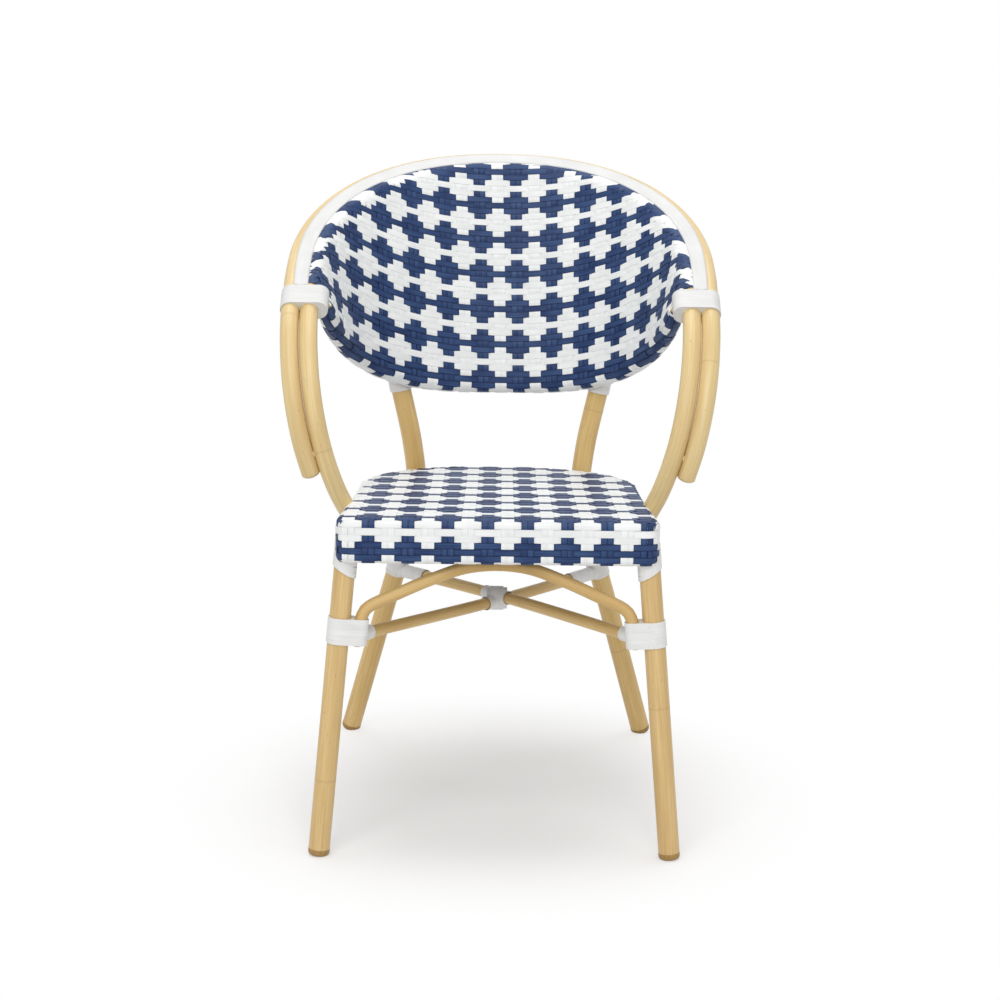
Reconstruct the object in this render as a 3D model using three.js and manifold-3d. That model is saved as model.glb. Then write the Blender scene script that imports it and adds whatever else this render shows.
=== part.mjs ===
// A bistro armchair: bent tube frame with a woven seat and a woven barrel back.
// Millimetres. X runs across the chair, -Y is the front, +Z is up and the floor is Z = 0.
import * as THREE from 'three';
import { mergeVertices } from 'three/addons/utils/BufferGeometryUtils.js';
import Module from 'manifold-3d';

const wasm = await Module();
wasm.setup();

// General values
const fitGap = 0.3;
const cutOverrun = 40;
const roundSides = 14;
const slimSides = 12;

// Legs
const legDiameter = 28;
const frontFootHalfSpread = 230;
const frontFootY = -263;
const frontLegTopHalfSpread = 194;
const frontLegTopY = -245;
const rearFootHalfSpread = 218;
const rearFootY = 256;
const rearLegKneeHalfWidth = 112;
const rearLegBendHeight = 406;
const rearLegBendLength = 60;
const rearLegSeatGap = 0.6;
const uprightRailHalfSpread = 144;
const uprightTopHalfSpread = 195;

// Foot caps
const footCapHeight = 9;
const footCapRound = 5;
const footCapSoleDiameter = 20;

// Hoop pair: an inner and an outer pole side by side in one tilted plane
const hoopDiameter = 24;
const hoopPairSpacing = 25;
const hoopHalfWidth = 267;
const hoopDepth = 280;
const hoopTopY = 254;
const hoopTopHeight = 851;
const hoopTilt = THREE.MathUtils.degToRad(26.3);
const hoopRoundness = 2.23;
const hoopStraight = 51;
const armBendRadius = 205;
const armInnerSweep = THREE.MathUtils.degToRad(92);
const armOuterSweep = THREE.MathUtils.degToRad(72.5);
const armInnerInward = 61;
const armOuterInward = 28;
const armInwardPower = 2.5;
const armEndDome = 6;
const spacerDiameter = 9;
const spacerAngle = THREE.MathUtils.degToRad(65);

// Lower rail of the back
const lowerRailDiameter = 20;
const lowerRailInset = 35;
const lowerRailEndReach = 3;
const lowerRailEndDrop = 5;
const lowerRailRearY = 182;
const lowerRailHeight = 548;
const lowerRailRisePower = 1.31;

// Woven back
const weaveThickness = 3;
const weaveGap = 0.6;
const lowerWrap = THREE.MathUtils.degToRad(120);

// Seat, in its own frame: the origin is the top of the front edge and +Y runs back
const seatFrontY = -270;
const seatFrontHeight = 457;
const seatTilt = THREE.MathUtils.degToRad(3.5);
const seatHeight = 60;
const seatFrontHalfWidth = 208;
const seatRearHalfWidth = 190;
const seatSideLength = 272;
const seatRearDepth = 166;
const seatRearRoundness = 2.3;
const seatCornerRadius = 20;
const seatEdgeRadius = 9;
const seatLipWidth = 24;
const seatRailDiameter = 26;
const seatRailGap = 0.5;

// Stretchers under the seat
const archDiameter = 16;
const archHalfSpan = 176;
const archEndHeight = 284;
const archShoulderHeight = 320;
const archCrownHeight = 384;
const archAcrossShares = [0.994, 0.955, 0.72, 0.475, 0.24];
const archUpShares = [0, 0.2, 0.51, 0.78, 0.95];
const braceDiameter = 16;
const braceFrontHeight = 291;
const braceRearHeight = 268;
const braceCrossOffset = 8;

// Bindings
const bindingThickness = 1.8;
const armBindingLead = 10;
const armBindingLength = 38;
const legTopBindingLength = 34;
const legTopBindingSlant = THREE.MathUtils.degToRad(30);
const legLowBindingHeight = 304;
const legLowBindingLength = 34;
const braceFrontBindingLength = 62;
const braceRearBindingLength = 73;
const crossBindingLength = 42;
const rearLegBindingHeight = 296;
const rearLegBindingLength = 44;
const uprightBindingLift = 18;
const uprightBindingLength = 50;
const uprightTopBindingLength = 40;
const rimHalfWidth = 10.5;
const rimThickness = 2.4;
const rimDip = 1.4;

// Colours
const rattanLook = { color: 0xd2b581, roughness: 0.5, metalness: 0 };
const bindingLook = { color: 0xececea, roughness: 0.5, metalness: 0 };
const weaveLook = { color: 0x8f9bb8, roughness: 0.5, metalness: 0 };
const capLook = { color: 0x9c6f38, roughness: 0.6, metalness: 0 };

// Solids
function toSolid(geometry) {
  const bare = geometry.clone();
  bare.deleteAttribute('normal');
  bare.deleteAttribute('uv');
  const merged = mergeVertices(bare);
  const vertProperties = new Float32Array(merged.attributes.position.array);
  const triVerts = new Uint32Array(merged.index.array);
  return new wasm.Manifold(new wasm.Mesh({ numProp: 3, vertProperties, triVerts }));
}

function toGeometry(solid) {
  const mesh = solid.getMesh();
  const geometry = new THREE.BufferGeometry();
  geometry.setAttribute('position', new THREE.BufferAttribute(mesh.vertProperties, 3));
  geometry.setIndex(new THREE.BufferAttribute(mesh.triVerts, 1));
  geometry.computeVertexNormals();
  return geometry;
}

// The largest of the bodies that a cut leaves
function mainBody(solid) {
  const bodies = solid.decompose();
  bodies.sort((one, other) => other.volume() - one.volume());
  return bodies[0];
}

function cut(solid, cutters) {
  return mainBody(cutters.reduce((rest, cutter) => rest.subtract(cutter), solid));
}

function circlePoints(radius, sides) {
  const points = [];
  for (let i = 0; i < sides; i += 1) {
    const angle = (i / sides) * 2 * Math.PI;
    points.push(new THREE.Vector2(radius * Math.cos(angle), radius * Math.sin(angle)));
  }
  return points;
}

// A pole keeps its path, so that a thicker copy of it can cut the pieces around it
function poleSolid(pole, growth = 0) {
  const shape = new THREE.Shape(circlePoints(pole.diameter / 2 + growth, pole.sides));
  const options = { steps: pole.steps, extrudePath: pole.path, bevelEnabled: false };
  return toSolid(new THREE.ExtrudeGeometry(shape, options));
}

const poleCutter = (pole) => poleSolid(pole, fitGap);
const smoothPath = (points) => new THREE.CatmullRomCurve3(points, false, 'centripetal');
const straightPath = (from, to) => new THREE.LineCurve3(from, to);
const mirrored = (point) => new THREE.Vector3(-point.x, point.y, point.z);

// The left half of a symmetric path, given from its end to its middle, and its mirror image
function bothHalves(half) {
  return [...half, ...half.slice(0, -1).reverse().map(mirrored)];
}

function signedPower(value, power) {
  return Math.sign(value) * Math.abs(value) ** power;
}

// Hoop pair
function hoopPlanePoint(x, fromTop) {
  const y = hoopTopY - fromTop * Math.cos(hoopTilt);
  const z = hoopTopHeight - fromTop * Math.sin(hoopTilt);
  return new THREE.Vector3(x, y, z);
}

// A point on the round part, moved out of the middle line of the pair by an offset
function hoopRoundPoint(angle, offset) {
  const across = (hoopHalfWidth + offset) * signedPower(Math.cos(angle), 2 / hoopRoundness);
  const along = (hoopDepth + offset) * Math.sin(angle) ** (2 / hoopRoundness);
  return hoopPlanePoint(-across, hoopDepth - along);
}

// A point on the arm, which bends down from the plane of the hoop towards the seat
function armPoint(turn, offset, sweep, inward) {
  const start = hoopPlanePoint(0, hoopDepth + hoopStraight);
  const across = hoopHalfWidth + offset - inward * (turn / sweep) ** armInwardPower;
  const y = start.y + armBendRadius * (Math.sin(hoopTilt) - Math.sin(hoopTilt + turn));
  const z = start.z - armBendRadius * (Math.cos(hoopTilt) - Math.cos(hoopTilt + turn));
  return new THREE.Vector3(-across, y, z);
}

function hoopPath(offset, sweep, inward) {
  const half = [];
  const armBays = 7;
  const roundBays = 8;
  for (let i = armBays; i >= 0; i -= 1) {
    half.push(armPoint((i / armBays) * sweep, offset, sweep, inward));
  }
  half.push(hoopPlanePoint(-hoopHalfWidth - offset, hoopDepth + hoopStraight / 2));
  for (let i = 0; i <= roundBays; i += 1) {
    half.push(hoopRoundPoint((i / roundBays) * (Math.PI / 2), offset));
  }
  return smoothPath(bothHalves(half));
}

const pairOffset = hoopPairSpacing / 2;
const innerHoop = {
  path: hoopPath(-pairOffset, armInnerSweep, armInnerInward),
  diameter: hoopDiameter,
  sides: slimSides,
  steps: 56,
};
const outerHoop = {
  path: hoopPath(pairOffset, armOuterSweep, armOuterInward),
  diameter: hoopDiameter,
  sides: slimSides,
  steps: 50,
};

// Lower rail of the back, which ends inside the arms where they start to bend down
const armStart = hoopPlanePoint(0, hoopDepth + hoopStraight);
const lowerRailHalfWidth = hoopHalfWidth - lowerRailInset;
const lowerRailMouthY = armStart.y - lowerRailEndReach;
const lowerRailDepth = lowerRailRearY - lowerRailMouthY;
const lowerRailRise = armStart.z - lowerRailEndDrop - lowerRailHeight;

function lowerRailPoint(angle) {
  const reach = Math.sin(angle);
  const x = -lowerRailHalfWidth * Math.cos(angle);
  const y = lowerRailMouthY + lowerRailDepth * reach;
  const z = lowerRailHeight + lowerRailRise * (1 - reach) ** lowerRailRisePower;
  return new THREE.Vector3(x, y, z);
}

function lowerRailPath() {
  const points = [];
  const bays = 18;
  for (let i = 0; i <= bays; i += 1) {
    points.push(lowerRailPoint((i / bays) * Math.PI));
  }
  return smoothPath(points);
}

const lowerRail = {
  path: lowerRailPath(),
  diameter: lowerRailDiameter,
  sides: slimSides,
  steps: 30,
};

// A closed skin from rows of cross-sections, each a closed loop of points
function loftSolid(loops) {
  const count = loops[0].length;
  const positions = loops.flat().flatMap((point) => [point.x, point.y, point.z]);
  const faces = [];
  for (let row = 0; row < loops.length - 1; row += 1) {
    for (let i = 0; i < count; i += 1) {
      const next = (i + 1) % count;
      const [a, b] = [row * count + i, row * count + next];
      faces.push(a, b, b + count, a, b + count, a + count);
    }
  }
  const flat = loops[0].map((point, i) => new THREE.Vector2(sectionShare(i, count), sectionSide(i, count)));
  const caps = THREE.ShapeUtils.triangulateShape(flat, []);
  const last = (loops.length - 1) * count;
  caps.forEach(([a, b, c]) => faces.push(a, c, b, last + a, last + b, last + c));
  const geometry = new THREE.BufferGeometry();
  geometry.setAttribute('position', new THREE.Float32BufferAttribute(positions, 3));
  geometry.setIndex(faces);
  return toSolid(geometry);
}

// Loops go out along one side and come back along the other, so their caps are plain strips
const sectionShare = (i, count) => (i < count / 2 ? i : count - 1 - i);
const sectionSide = (i, count) => (i < count / 2 ? 0 : 1);

// An arc around a pole, square to it, that starts from the side that faces the sitter
function wrapArc(centre, tangent, up, radius, angles) {
  const along = tangent.clone().normalize();
  const across = up.clone().addScaledVector(along, -up.dot(along)).normalize();
  const face = along.clone().cross(across);
  return angles(face, across).map((angle) => centre.clone()
    .addScaledVector(face, radius * Math.cos(angle))
    .addScaledVector(across, radius * Math.sin(angle)));
}

// The cross-section of the woven back: around the lower rail, straight up, over the inner hoop
function backSection(low, lowTangent, high, highTangent) {
  const up = high.clone().sub(low);
  const lowBays = 5;
  const highBays = 3;
  const spread = (bays, from, to) => [...Array(bays + 1).keys()].map((i) => from + (i / bays) * (to - from));
  const lowAngles = () => spread(lowBays, -lowerWrap, 0);
  const crestOf = (face, across) => Math.atan2(hoopNormal.dot(across), hoopNormal.dot(face));
  const highAngles = (face, across) => spread(highBays, 0, crestOf(face, across));
  const side = (growth) => [
    ...wrapArc(low, lowTangent, up, lowerRailDiameter / 2 + growth, lowAngles),
    ...wrapArc(high, highTangent, up, hoopDiameter / 2 + growth, highAngles),
  ];
  return [...side(weaveGap), ...side(weaveGap + weaveThickness).reverse()];
}

const hoopNormal = new THREE.Vector3(0, -Math.sin(hoopTilt), Math.cos(hoopTilt));

// The upper end of the arm bindings, as a distance from the top of the hoops along their plane
const armBindingTop = hoopDepth + hoopStraight - armBindingLead;

// Where a hoop passes a distance from the top, as a share of the length of its path
function hoopShareAt(curve, fromTop) {
  const limit = hoopTopY - fromTop * Math.cos(hoopTilt);
  const bays = 400;
  for (let i = bays / 2; i > 0; i -= 1) {
    if (curve.getPointAt(i / bays).y < limit) return i / bays;
  }
  return 0;
}

function backWeaveSolid() {
  const stations = 36;
  const start = hoopShareAt(innerHoop.path, armBindingTop + armBindingLength / 4);
  const loops = [];
  for (let i = 0; i <= stations; i += 1) {
    const lowShare = (i + 1) / (stations + 2);
    const highShare = start + (i / stations) * (1 - 2 * start);
    loops.push(backSection(
      lowerRail.path.getPointAt(lowShare),
      lowerRail.path.getTangentAt(lowShare),
      innerHoop.path.getPointAt(highShare),
      innerHoop.path.getTangentAt(highShare),
    ));
  }
  return loftSolid(loops);
}

// The white strip that covers the groove between the two hoops
function rimSolid(growth) {
  const stations = 40;
  const middle = { path: hoopPath(0, armOuterSweep, armOuterInward) };
  const start = hoopShareAt(middle.path, armBindingTop);
  const crest = hoopDiameter / 2 + weaveGap;
  const loops = [];
  for (let i = 0; i <= stations; i += 1) {
    const share = start + (i / stations) * (1 - 2 * start);
    const centre = middle.path.getPointAt(share);
    const outward = middle.path.getTangentAt(share).cross(hoopNormal).negate();
    const point = (across, lift) => centre.clone()
      .addScaledVector(outward, across * (rimHalfWidth + growth))
      .addScaledVector(hoopNormal, crest + lift);
    const dip = (across) => rimDip * (1 - across ** 2);
    const under = [-1, 0, 1].map((across) => point(across, -growth - dip(across)));
    const over = [1, 0, -1].map((across) => point(across, growth + rimThickness - dip(across)));
    loops.push([...under, ...over]);
  }
  return loftSolid(loops);
}

// The right front corner of the seat's outline, moved in by an inset
function seatCorner(inset) {
  const points = [];
  const bays = 4;
  const corner = Math.max(seatCornerRadius - inset, fitGap);
  for (let i = 0; i <= bays; i += 1) {
    const angle = (i / bays - 1) * (Math.PI / 2);
    const x = seatFrontHalfWidth - inset - corner + corner * Math.cos(angle);
    const y = inset + corner + corner * Math.sin(angle);
    points.push(new THREE.Vector2(x, y));
  }
  return points;
}

// The right half of its rounded back, from the side to the middle
function seatRear(inset) {
  const points = [];
  const bays = 16;
  for (let i = 0; i <= bays; i += 1) {
    const angle = (i / bays) * (Math.PI / 2);
    const x = (seatRearHalfWidth - inset) * Math.cos(angle) ** (2 / seatRearRoundness);
    const y = seatSideLength + (seatRearDepth - inset) * Math.sin(angle) ** (2 / seatRearRoundness);
    points.push(new THREE.Vector2(i < bays ? x : 0, y));
  }
  return points;
}

function seatShape(inset) {
  const half = [...seatCorner(inset), ...seatRear(inset)];
  const other = half.slice(0, -1).reverse().map((point) => new THREE.Vector2(-point.x, point.y));
  return new THREE.Shape([...half, ...other]);
}

// A block with the seat's outline, as high as the seat less the inset at its top and bottom
function seatBlock(inset) {
  const edge = seatEdgeRadius - inset;
  const depth = seatHeight - 2 * seatEdgeRadius;
  const options = { depth, bevelThickness: edge, bevelSize: edge, bevelOffset: -edge, bevelSegments: 2 };
  const geometry = new THREE.ExtrudeGeometry(seatShape(inset), options);
  geometry.translate(0, 0, seatEdgeRadius - seatHeight);
  return toSolid(geometry);
}

// The mouth under the seat, inside its turned-in lip
function seatMouth() {
  const options = { depth: seatHeight, bevelEnabled: false };
  const geometry = new THREE.ExtrudeGeometry(seatShape(weaveThickness + seatLipWidth), options);
  geometry.translate(0, 0, -seatHeight - seatHeight / 2);
  return toSolid(geometry);
}

const seatRailInset = weaveThickness + weaveGap + seatRailDiameter / 2;
const upperRailZ = -seatRailInset;
const lowerRailZ = upperRailZ - seatRailDiameter - seatRailGap;

// A level of the seat frame: a straight front rail, and a side rail that is bent round the back
function frontRailPole(height, growth) {
  const end = new THREE.Vector3(seatFrontHalfWidth - seatCornerRadius + growth, seatRailInset, height);
  const path = straightPath(mirrored(end), end);
  return { path, diameter: seatRailDiameter, sides: slimSides, steps: 1 };
}

function sideRailPole(height) {
  const along = seatRear(seatRailInset).map((point) => new THREE.Vector3(-point.x, point.y, height));
  const front = new THREE.Vector3(seatRailInset - seatFrontHalfWidth, seatRailInset, height);
  const middle = front.clone().lerp(along[0], 1 / 2);
  const path = smoothPath(bothHalves([front, middle, ...along]));
  return { path, diameter: seatRailDiameter, sides: slimSides, steps: 30 };
}

const seatLevels = [upperRailZ, lowerRailZ];
const sideRails = seatLevels.map(sideRailPole);
const frontRails = seatLevels.map((height) => frontRailPole(height, 0));
const frontRailCutters = seatLevels.map((height) => poleCutter(frontRailPole(height, fitGap)));
const seatRailCutters = [...sideRails.map(poleCutter), ...frontRailCutters];

const seatPlace = new THREE.Matrix4().makeRotationX(-seatTilt).setPosition(0, seatFrontY, seatFrontHeight);
const toSeat = seatPlace.clone().invert();
const inSeatFrame = (solid) => solid.transform(toSeat.elements.slice());
const inChairFrame = (solid) => solid.transform(seatPlace.elements.slice());
const seatRailCuttersInChair = seatRailCutters.map(inChairFrame);
const seatEnvelope = inChairFrame(seatBlock(-fitGap));

// Front legs: straight poles that end against the lower seat rail
const frontFoot = new THREE.Vector3(frontFootHalfSpread, frontFootY, footCapHeight);
const frontLegTop = new THREE.Vector3(frontLegTopHalfSpread, frontLegTopY, seatFrontHeight + lowerRailZ);

// The point of a straight leg at a height
function legPointAt(foot, top, height, sign) {
  const point = foot.clone().lerp(top, (height - foot.z) / (top.z - foot.z));
  return new THREE.Vector3(sign * point.x, point.y, point.z);
}

function frontLegPole(sign) {
  const from = legPointAt(frontFoot, frontLegTop, frontFoot.z, sign);
  const to = legPointAt(frontFoot, frontLegTop, frontLegTop.z, sign);
  return { path: straightPath(from, to), diameter: legDiameter, sides: roundSides, steps: 1 };
}

// Where a rear leg touches the rounded back of the seat
function rearLegContact() {
  const share = rearLegKneeHalfWidth / seatRearHalfWidth;
  const back = (1 - share ** seatRearRoundness) ** (1 / seatRearRoundness);
  const outX = share ** (seatRearRoundness - 1) / seatRearHalfWidth;
  const outY = back ** (seatRearRoundness - 1) / seatRearDepth;
  const reach = (legDiameter / 2 + rearLegSeatGap) / Math.hypot(outX, outY);
  const y = seatFrontY + seatSideLength + seatRearDepth * back + outY * reach;
  return new THREE.Vector3(rearLegKneeHalfWidth, y, rearLegBendHeight);
}

// Where an upright passes behind the lower rail of the back
function uprightRailPoint() {
  const reach = (legDiameter + lowerRailDiameter) / 2 + fitGap;
  const angle = Math.PI - Math.acos((uprightRailHalfSpread - reach / 2) / lowerRailHalfWidth);
  const onRail = lowerRailPoint(angle);
  const outX = -Math.cos(angle) / lowerRailHalfWidth;
  const outY = Math.sin(angle) / lowerRailDepth;
  const size = reach / Math.hypot(outX, outY);
  return new THREE.Vector3(onRail.x + outX * size, onRail.y + outY * size, onRail.z);
}

function uprightTopPoint() {
  const angle = Math.acos((uprightTopHalfSpread / hoopHalfWidth) ** (hoopRoundness / 2));
  return mirrored(hoopRoundPoint(angle, 0));
}

const rearFoot = new THREE.Vector3(rearFootHalfSpread, rearFootY, footCapHeight);
const rearLegBend = rearLegContact();

function rearLegPole(sign) {
  const rail = uprightRailPoint();
  const top = uprightTopPoint();
  const down = rearFoot.clone().sub(rearLegBend).normalize();
  const up = rail.clone().sub(rearLegBend).normalize();
  const points = [
    rearFoot,
    rearFoot.clone().lerp(rearLegBend, 1 / 2),
    rearLegBend.clone().addScaledVector(down, rearLegBendLength),
    rearLegBend.clone().addScaledVector(down.clone().add(up), rearLegBendLength / 4),
    rearLegBend.clone().addScaledVector(up, rearLegBendLength),
    rail,
    rail.clone().lerp(top, 1 / 2),
    top,
  ];
  const path = smoothPath(sign > 0 ? points : points.map(mirrored));
  return { path, diameter: legDiameter, sides: roundSides, steps: 18 };
}

// Arch between the front legs: its ends lie against the legs
function archPole() {
  const beside = (legDiameter + archDiameter) / 2 + fitGap;
  const foot = legPointAt(frontFoot, frontLegTop, archEndHeight, -1);
  const planeY = foot.y;
  const rise = archCrownHeight - archShoulderHeight;
  const half = [new THREE.Vector3(foot.x + beside, planeY, archEndHeight)];
  archAcrossShares.forEach((share, i) => {
    half.push(new THREE.Vector3(-share * archHalfSpan, planeY, archShoulderHeight + rise * archUpShares[i]));
  });
  half.push(new THREE.Vector3(0, planeY, archCrownHeight));
  return { path: smoothPath(bothHalves(half)), diameter: archDiameter, sides: slimSides, steps: 32 };
}

// Crossed braces, each from a front leg to the opposite rear leg
function bracePole(sign, lift) {
  const front = legPointAt(frontFoot, frontLegTop, braceFrontHeight, sign);
  const rear = legPointAt(rearFoot, rearLegBend, braceRearHeight, -sign);
  const middle = front.clone().lerp(rear, front.x / (front.x - rear.x));
  middle.z += lift;
  const path = smoothPath([front, middle, rear]);
  return { path, diameter: braceDiameter, sides: slimSides, steps: 12 };
}

const arch = archPole();
const braces = { right: bracePole(1, braceCrossOffset / 2), left: bracePole(-1, -braceCrossOffset / 2) };

// A loop around two circles, for a sleeve that binds two poles together
function aroundTwo(firstRadius, distance, secondRadius) {
  const points = [];
  const lean = Math.acos((firstRadius - secondRadius) / distance);
  const arcBays = 8;
  for (let i = 0; i <= arcBays; i += 1) {
    const angle = lean + (i / arcBays) * 2 * (Math.PI - lean);
    points.push(new THREE.Vector2(firstRadius * Math.cos(angle), firstRadius * Math.sin(angle)));
  }
  for (let i = 0; i <= arcBays; i += 1) {
    const angle = (2 * i / arcBays - 1) * lean;
    const x = distance + secondRadius * Math.cos(angle);
    points.push(new THREE.Vector2(x, secondRadius * Math.sin(angle)));
  }
  return points;
}

// An outline pushed along an axis, with its own X axis turned towards a second pole
function sleeveSolid(outline, length, centre, axis, towards) {
  const options = { depth: length, bevelEnabled: false };
  const geometry = new THREE.ExtrudeGeometry(new THREE.Shape(outline), options);
  geometry.translate(0, 0, -length / 2);
  const z = axis.clone().normalize();
  const x = towards.clone().addScaledVector(z, -towards.dot(z)).normalize();
  const y = z.clone().cross(x);
  geometry.applyMatrix4(new THREE.Matrix4().makeBasis(x, y, z).setPosition(centre));
  return toSolid(geometry);
}

function roundSleeve(pole, share, length, growth = 0) {
  const outline = circlePoints(pole.diameter / 2 + bindingThickness + growth, roundSides);
  const centre = pole.path.getPointAt(share);
  const sideways = new THREE.Vector3(1, 0, 0);
  const axis = pole.path.getTangentAt(share);
  return sleeveSolid(outline, length + 2 * growth, centre, axis, sideways);
}

// The share of a rising pole's path at a height
function shareAtHeight(pole, height) {
  let [low, high] = [0, 1];
  const halvings = 20;
  for (let i = 0; i < halvings; i += 1) {
    const middle = (low + high) / 2;
    if (pole.path.getPointAt(middle).z < height) low = middle;
    else high = middle;
  }
  return low;
}

// Foot cap: a plug under a leg with a rounded edge, cut flat at the floor
function footCapSolid(foot, top) {
  const radius = legDiameter / 2;
  const sole = footCapSoleDiameter / 2;
  const below = 2 * footCapHeight;
  const profile = [
    new THREE.Vector2(0, fitGap),
    new THREE.Vector2(radius, fitGap),
    new THREE.Vector2(radius, footCapHeight - footCapRound),
    new THREE.Vector2((2 * radius + sole) / 3, footCapHeight - footCapRound / 3),
    new THREE.Vector2(sole, footCapHeight),
    new THREE.Vector2(sole, below),
    new THREE.Vector2(0, below),
  ];
  const cap = new THREE.LatheGeometry(profile, roundSides);
  const axis = foot.clone().sub(top).normalize();
  const turn = new THREE.Quaternion().setFromUnitVectors(new THREE.Vector3(0, 1, 0), axis);
  cap.applyQuaternion(turn);
  cap.translate(foot.x, foot.y, foot.z);
  const floor = new THREE.BoxGeometry(cutOverrun * 2, cutOverrun * 2, cutOverrun);
  floor.translate(foot.x, foot.y, -cutOverrun / 2);
  return cut(toSolid(cap), [toSolid(floor)]);
}

// Scene
const chair = new THREE.Group();
const seat = new THREE.Group();
seat.position.set(0, seatFrontY, seatFrontHeight);
seat.rotation.x = -seatTilt;
chair.add(seat);

function addPiece(group, name, solid, look) {
  const mesh = new THREE.Mesh(toGeometry(solid), new THREE.MeshStandardMaterial(look));
  mesh.name = name;
  group.add(mesh);
}

const sides = [
  { name: 'left', sign: -1 },
  { name: 'right', sign: 1 },
];
const frontLegs = { left: frontLegPole(-1), right: frontLegPole(1) };
const rearLegs = { left: rearLegPole(-1), right: rearLegPole(1) };
const otherSide = { left: 'right', right: 'left' };
const legCutters = [frontLegs.left, frontLegs.right, rearLegs.left, rearLegs.right].map(poleCutter);
const hoopCutters = [innerHoop, outerHoop].map(poleCutter);
const lowerRailCutter = poleCutter(lowerRail);
const archCutter = poleCutter(arch);
const braceCutters = [braces.left, braces.right].map(poleCutter);

function addLegs() {
  sides.forEach(({ name, sign }) => {
    const front = cut(poleSolid(frontLegs[name]), seatRailCuttersInChair);
    addPiece(chair, `front_leg_${name}`, front, rattanLook);
    const rear = cut(poleSolid(rearLegs[name]), hoopCutters);
    addPiece(chair, `rear_leg_${name}`, rear, rattanLook);
    const foot = { front: mirroredTo(frontFoot, sign), rear: mirroredTo(rearFoot, sign) };
    const frontCap = footCapSolid(foot.front, mirroredTo(frontLegTop, sign));
    addPiece(chair, `front_foot_cap_${name}`, frontCap, capLook);
    const rearCap = footCapSolid(foot.rear, mirroredTo(rearLegBend, sign));
    addPiece(chair, `rear_foot_cap_${name}`, rearCap, capLook);
  });
}

function mirroredTo(point, sign) {
  return new THREE.Vector3(sign * point.x, point.y, point.z);
}

// The free front end of an arm, rounded
function armEndSolid(share) {
  const radius = hoopDiameter / 2;
  const bays = 4;
  const profile = [new THREE.Vector2(0, 0)];
  for (let i = 0; i <= bays; i += 1) {
    const angle = (i / bays) * (Math.PI / 2);
    const across = i < bays ? radius * Math.cos(angle) : 0;
    profile.push(new THREE.Vector2(across, fitGap + armEndDome * Math.sin(angle)));
  }
  const dome = new THREE.LatheGeometry(profile, slimSides);
  const outward = outerHoop.path.getTangentAt(share).multiplyScalar(share > 0 ? 1 : -1);
  dome.applyQuaternion(new THREE.Quaternion().setFromUnitVectors(new THREE.Vector3(0, 1, 0), outward));
  const end = outerHoop.path.getPointAt(share).addScaledVector(outward, -fitGap);
  dome.translate(end.x, end.y, end.z);
  return toSolid(dome);
}

function addHoops() {
  const inner = cut(poleSolid(innerHoop), seatRailCuttersInChair);
  addPiece(chair, 'inner_hoop', inner, rattanLook);
  const outer = poleSolid(outerHoop).add(armEndSolid(0)).add(armEndSolid(1));
  addPiece(chair, 'outer_hoop', outer, rattanLook);
  const rail = cut(poleSolid(lowerRail), hoopCutters);
  addPiece(chair, 'back_lower_rail', rail, rattanLook);
}

function addArmSpacers() {
  sides.forEach(({ name, sign }) => {
    const inside = armPoint(spacerAngle, -pairOffset, armInnerSweep, armInnerInward);
    const outside = armPoint(spacerAngle, pairOffset, armOuterSweep, armOuterInward);
    const path = straightPath(mirroredTo(inside, -sign), mirroredTo(outside, -sign));
    const pole = { path, diameter: spacerDiameter, sides: slimSides, steps: 1 };
    const spacer = cut(poleSolid(pole), hoopCutters);
    addPiece(chair, `arm_spacer_${name}`, spacer, rattanLook);
  });
}

// Arm bindings hold both hoops and the end of the lower rail
function armBindingSolid(sign, growth) {
  const first = hoopDiameter / 2 + bindingThickness + growth;
  const last = lowerRailDiameter / 2 + bindingThickness + growth;
  const width = hoopHalfWidth + pairOffset - lowerRailHalfWidth;
  const turn = (armBindingLength / 2 - armBindingLead) / armBendRadius;
  const [before, centre, after] = [0, turn, 2 * turn].map((at) => (
    mirroredTo(armPoint(at, pairOffset, armOuterSweep, armOuterInward), -sign)
  ));
  const inward = new THREE.Vector3(-sign, 0, 0);
  const length = armBindingLength + 2 * growth;
  return sleeveSolid(aroundTwo(first, width, last), length, centre, after.sub(before), inward);
}

function addBack() {
  const envelopes = sides.map(({ sign }) => armBindingSolid(sign, fitGap));
  const weave = cut(backWeaveSolid(), envelopes);
  addPiece(chair, 'back_weave', weave, weaveLook);
  const rim = cut(rimSolid(0), [...envelopes, weave]);
  addPiece(chair, 'rim_binding', rim, bindingLook);
  sides.forEach(({ name, sign }) => {
    const binding = cut(armBindingSolid(sign, 0), [...hoopCutters, lowerRailCutter]);
    addPiece(chair, `arm_binding_${name}`, binding, bindingLook);
  });
}

function addSeat() {
  const levels = ['upper', 'lower'];
  levels.forEach((level, i) => {
    addPiece(seat, `seat_front_rail_${level}`, poleSolid(frontRails[i]), rattanLook);
    const side = cut(poleSolid(sideRails[i]), [frontRailCutters[i]]);
    addPiece(seat, `seat_side_rail_${level}`, side, rattanLook);
  });
  const holes = [hoopCutters[0], legCutters[0], legCutters[1]].map(inSeatFrame);
  const weave = cut(seatBlock(0), [seatBlock(weaveThickness), seatMouth(), ...holes]);
  addPiece(seat, 'seat_weave', weave, weaveLook);
}

function addStretchers() {
  addPiece(chair, 'front_arch', poleSolid(arch), rattanLook);
  const upper = cut(poleSolid(braces.right), legCutters);
  addPiece(chair, 'cross_brace_upper', upper, rattanLook);
  const lower = cut(poleSolid(braces.left), [...legCutters, braceCutters[1]]);
  addPiece(chair, 'cross_brace_lower', lower, rattanLook);
}

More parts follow.
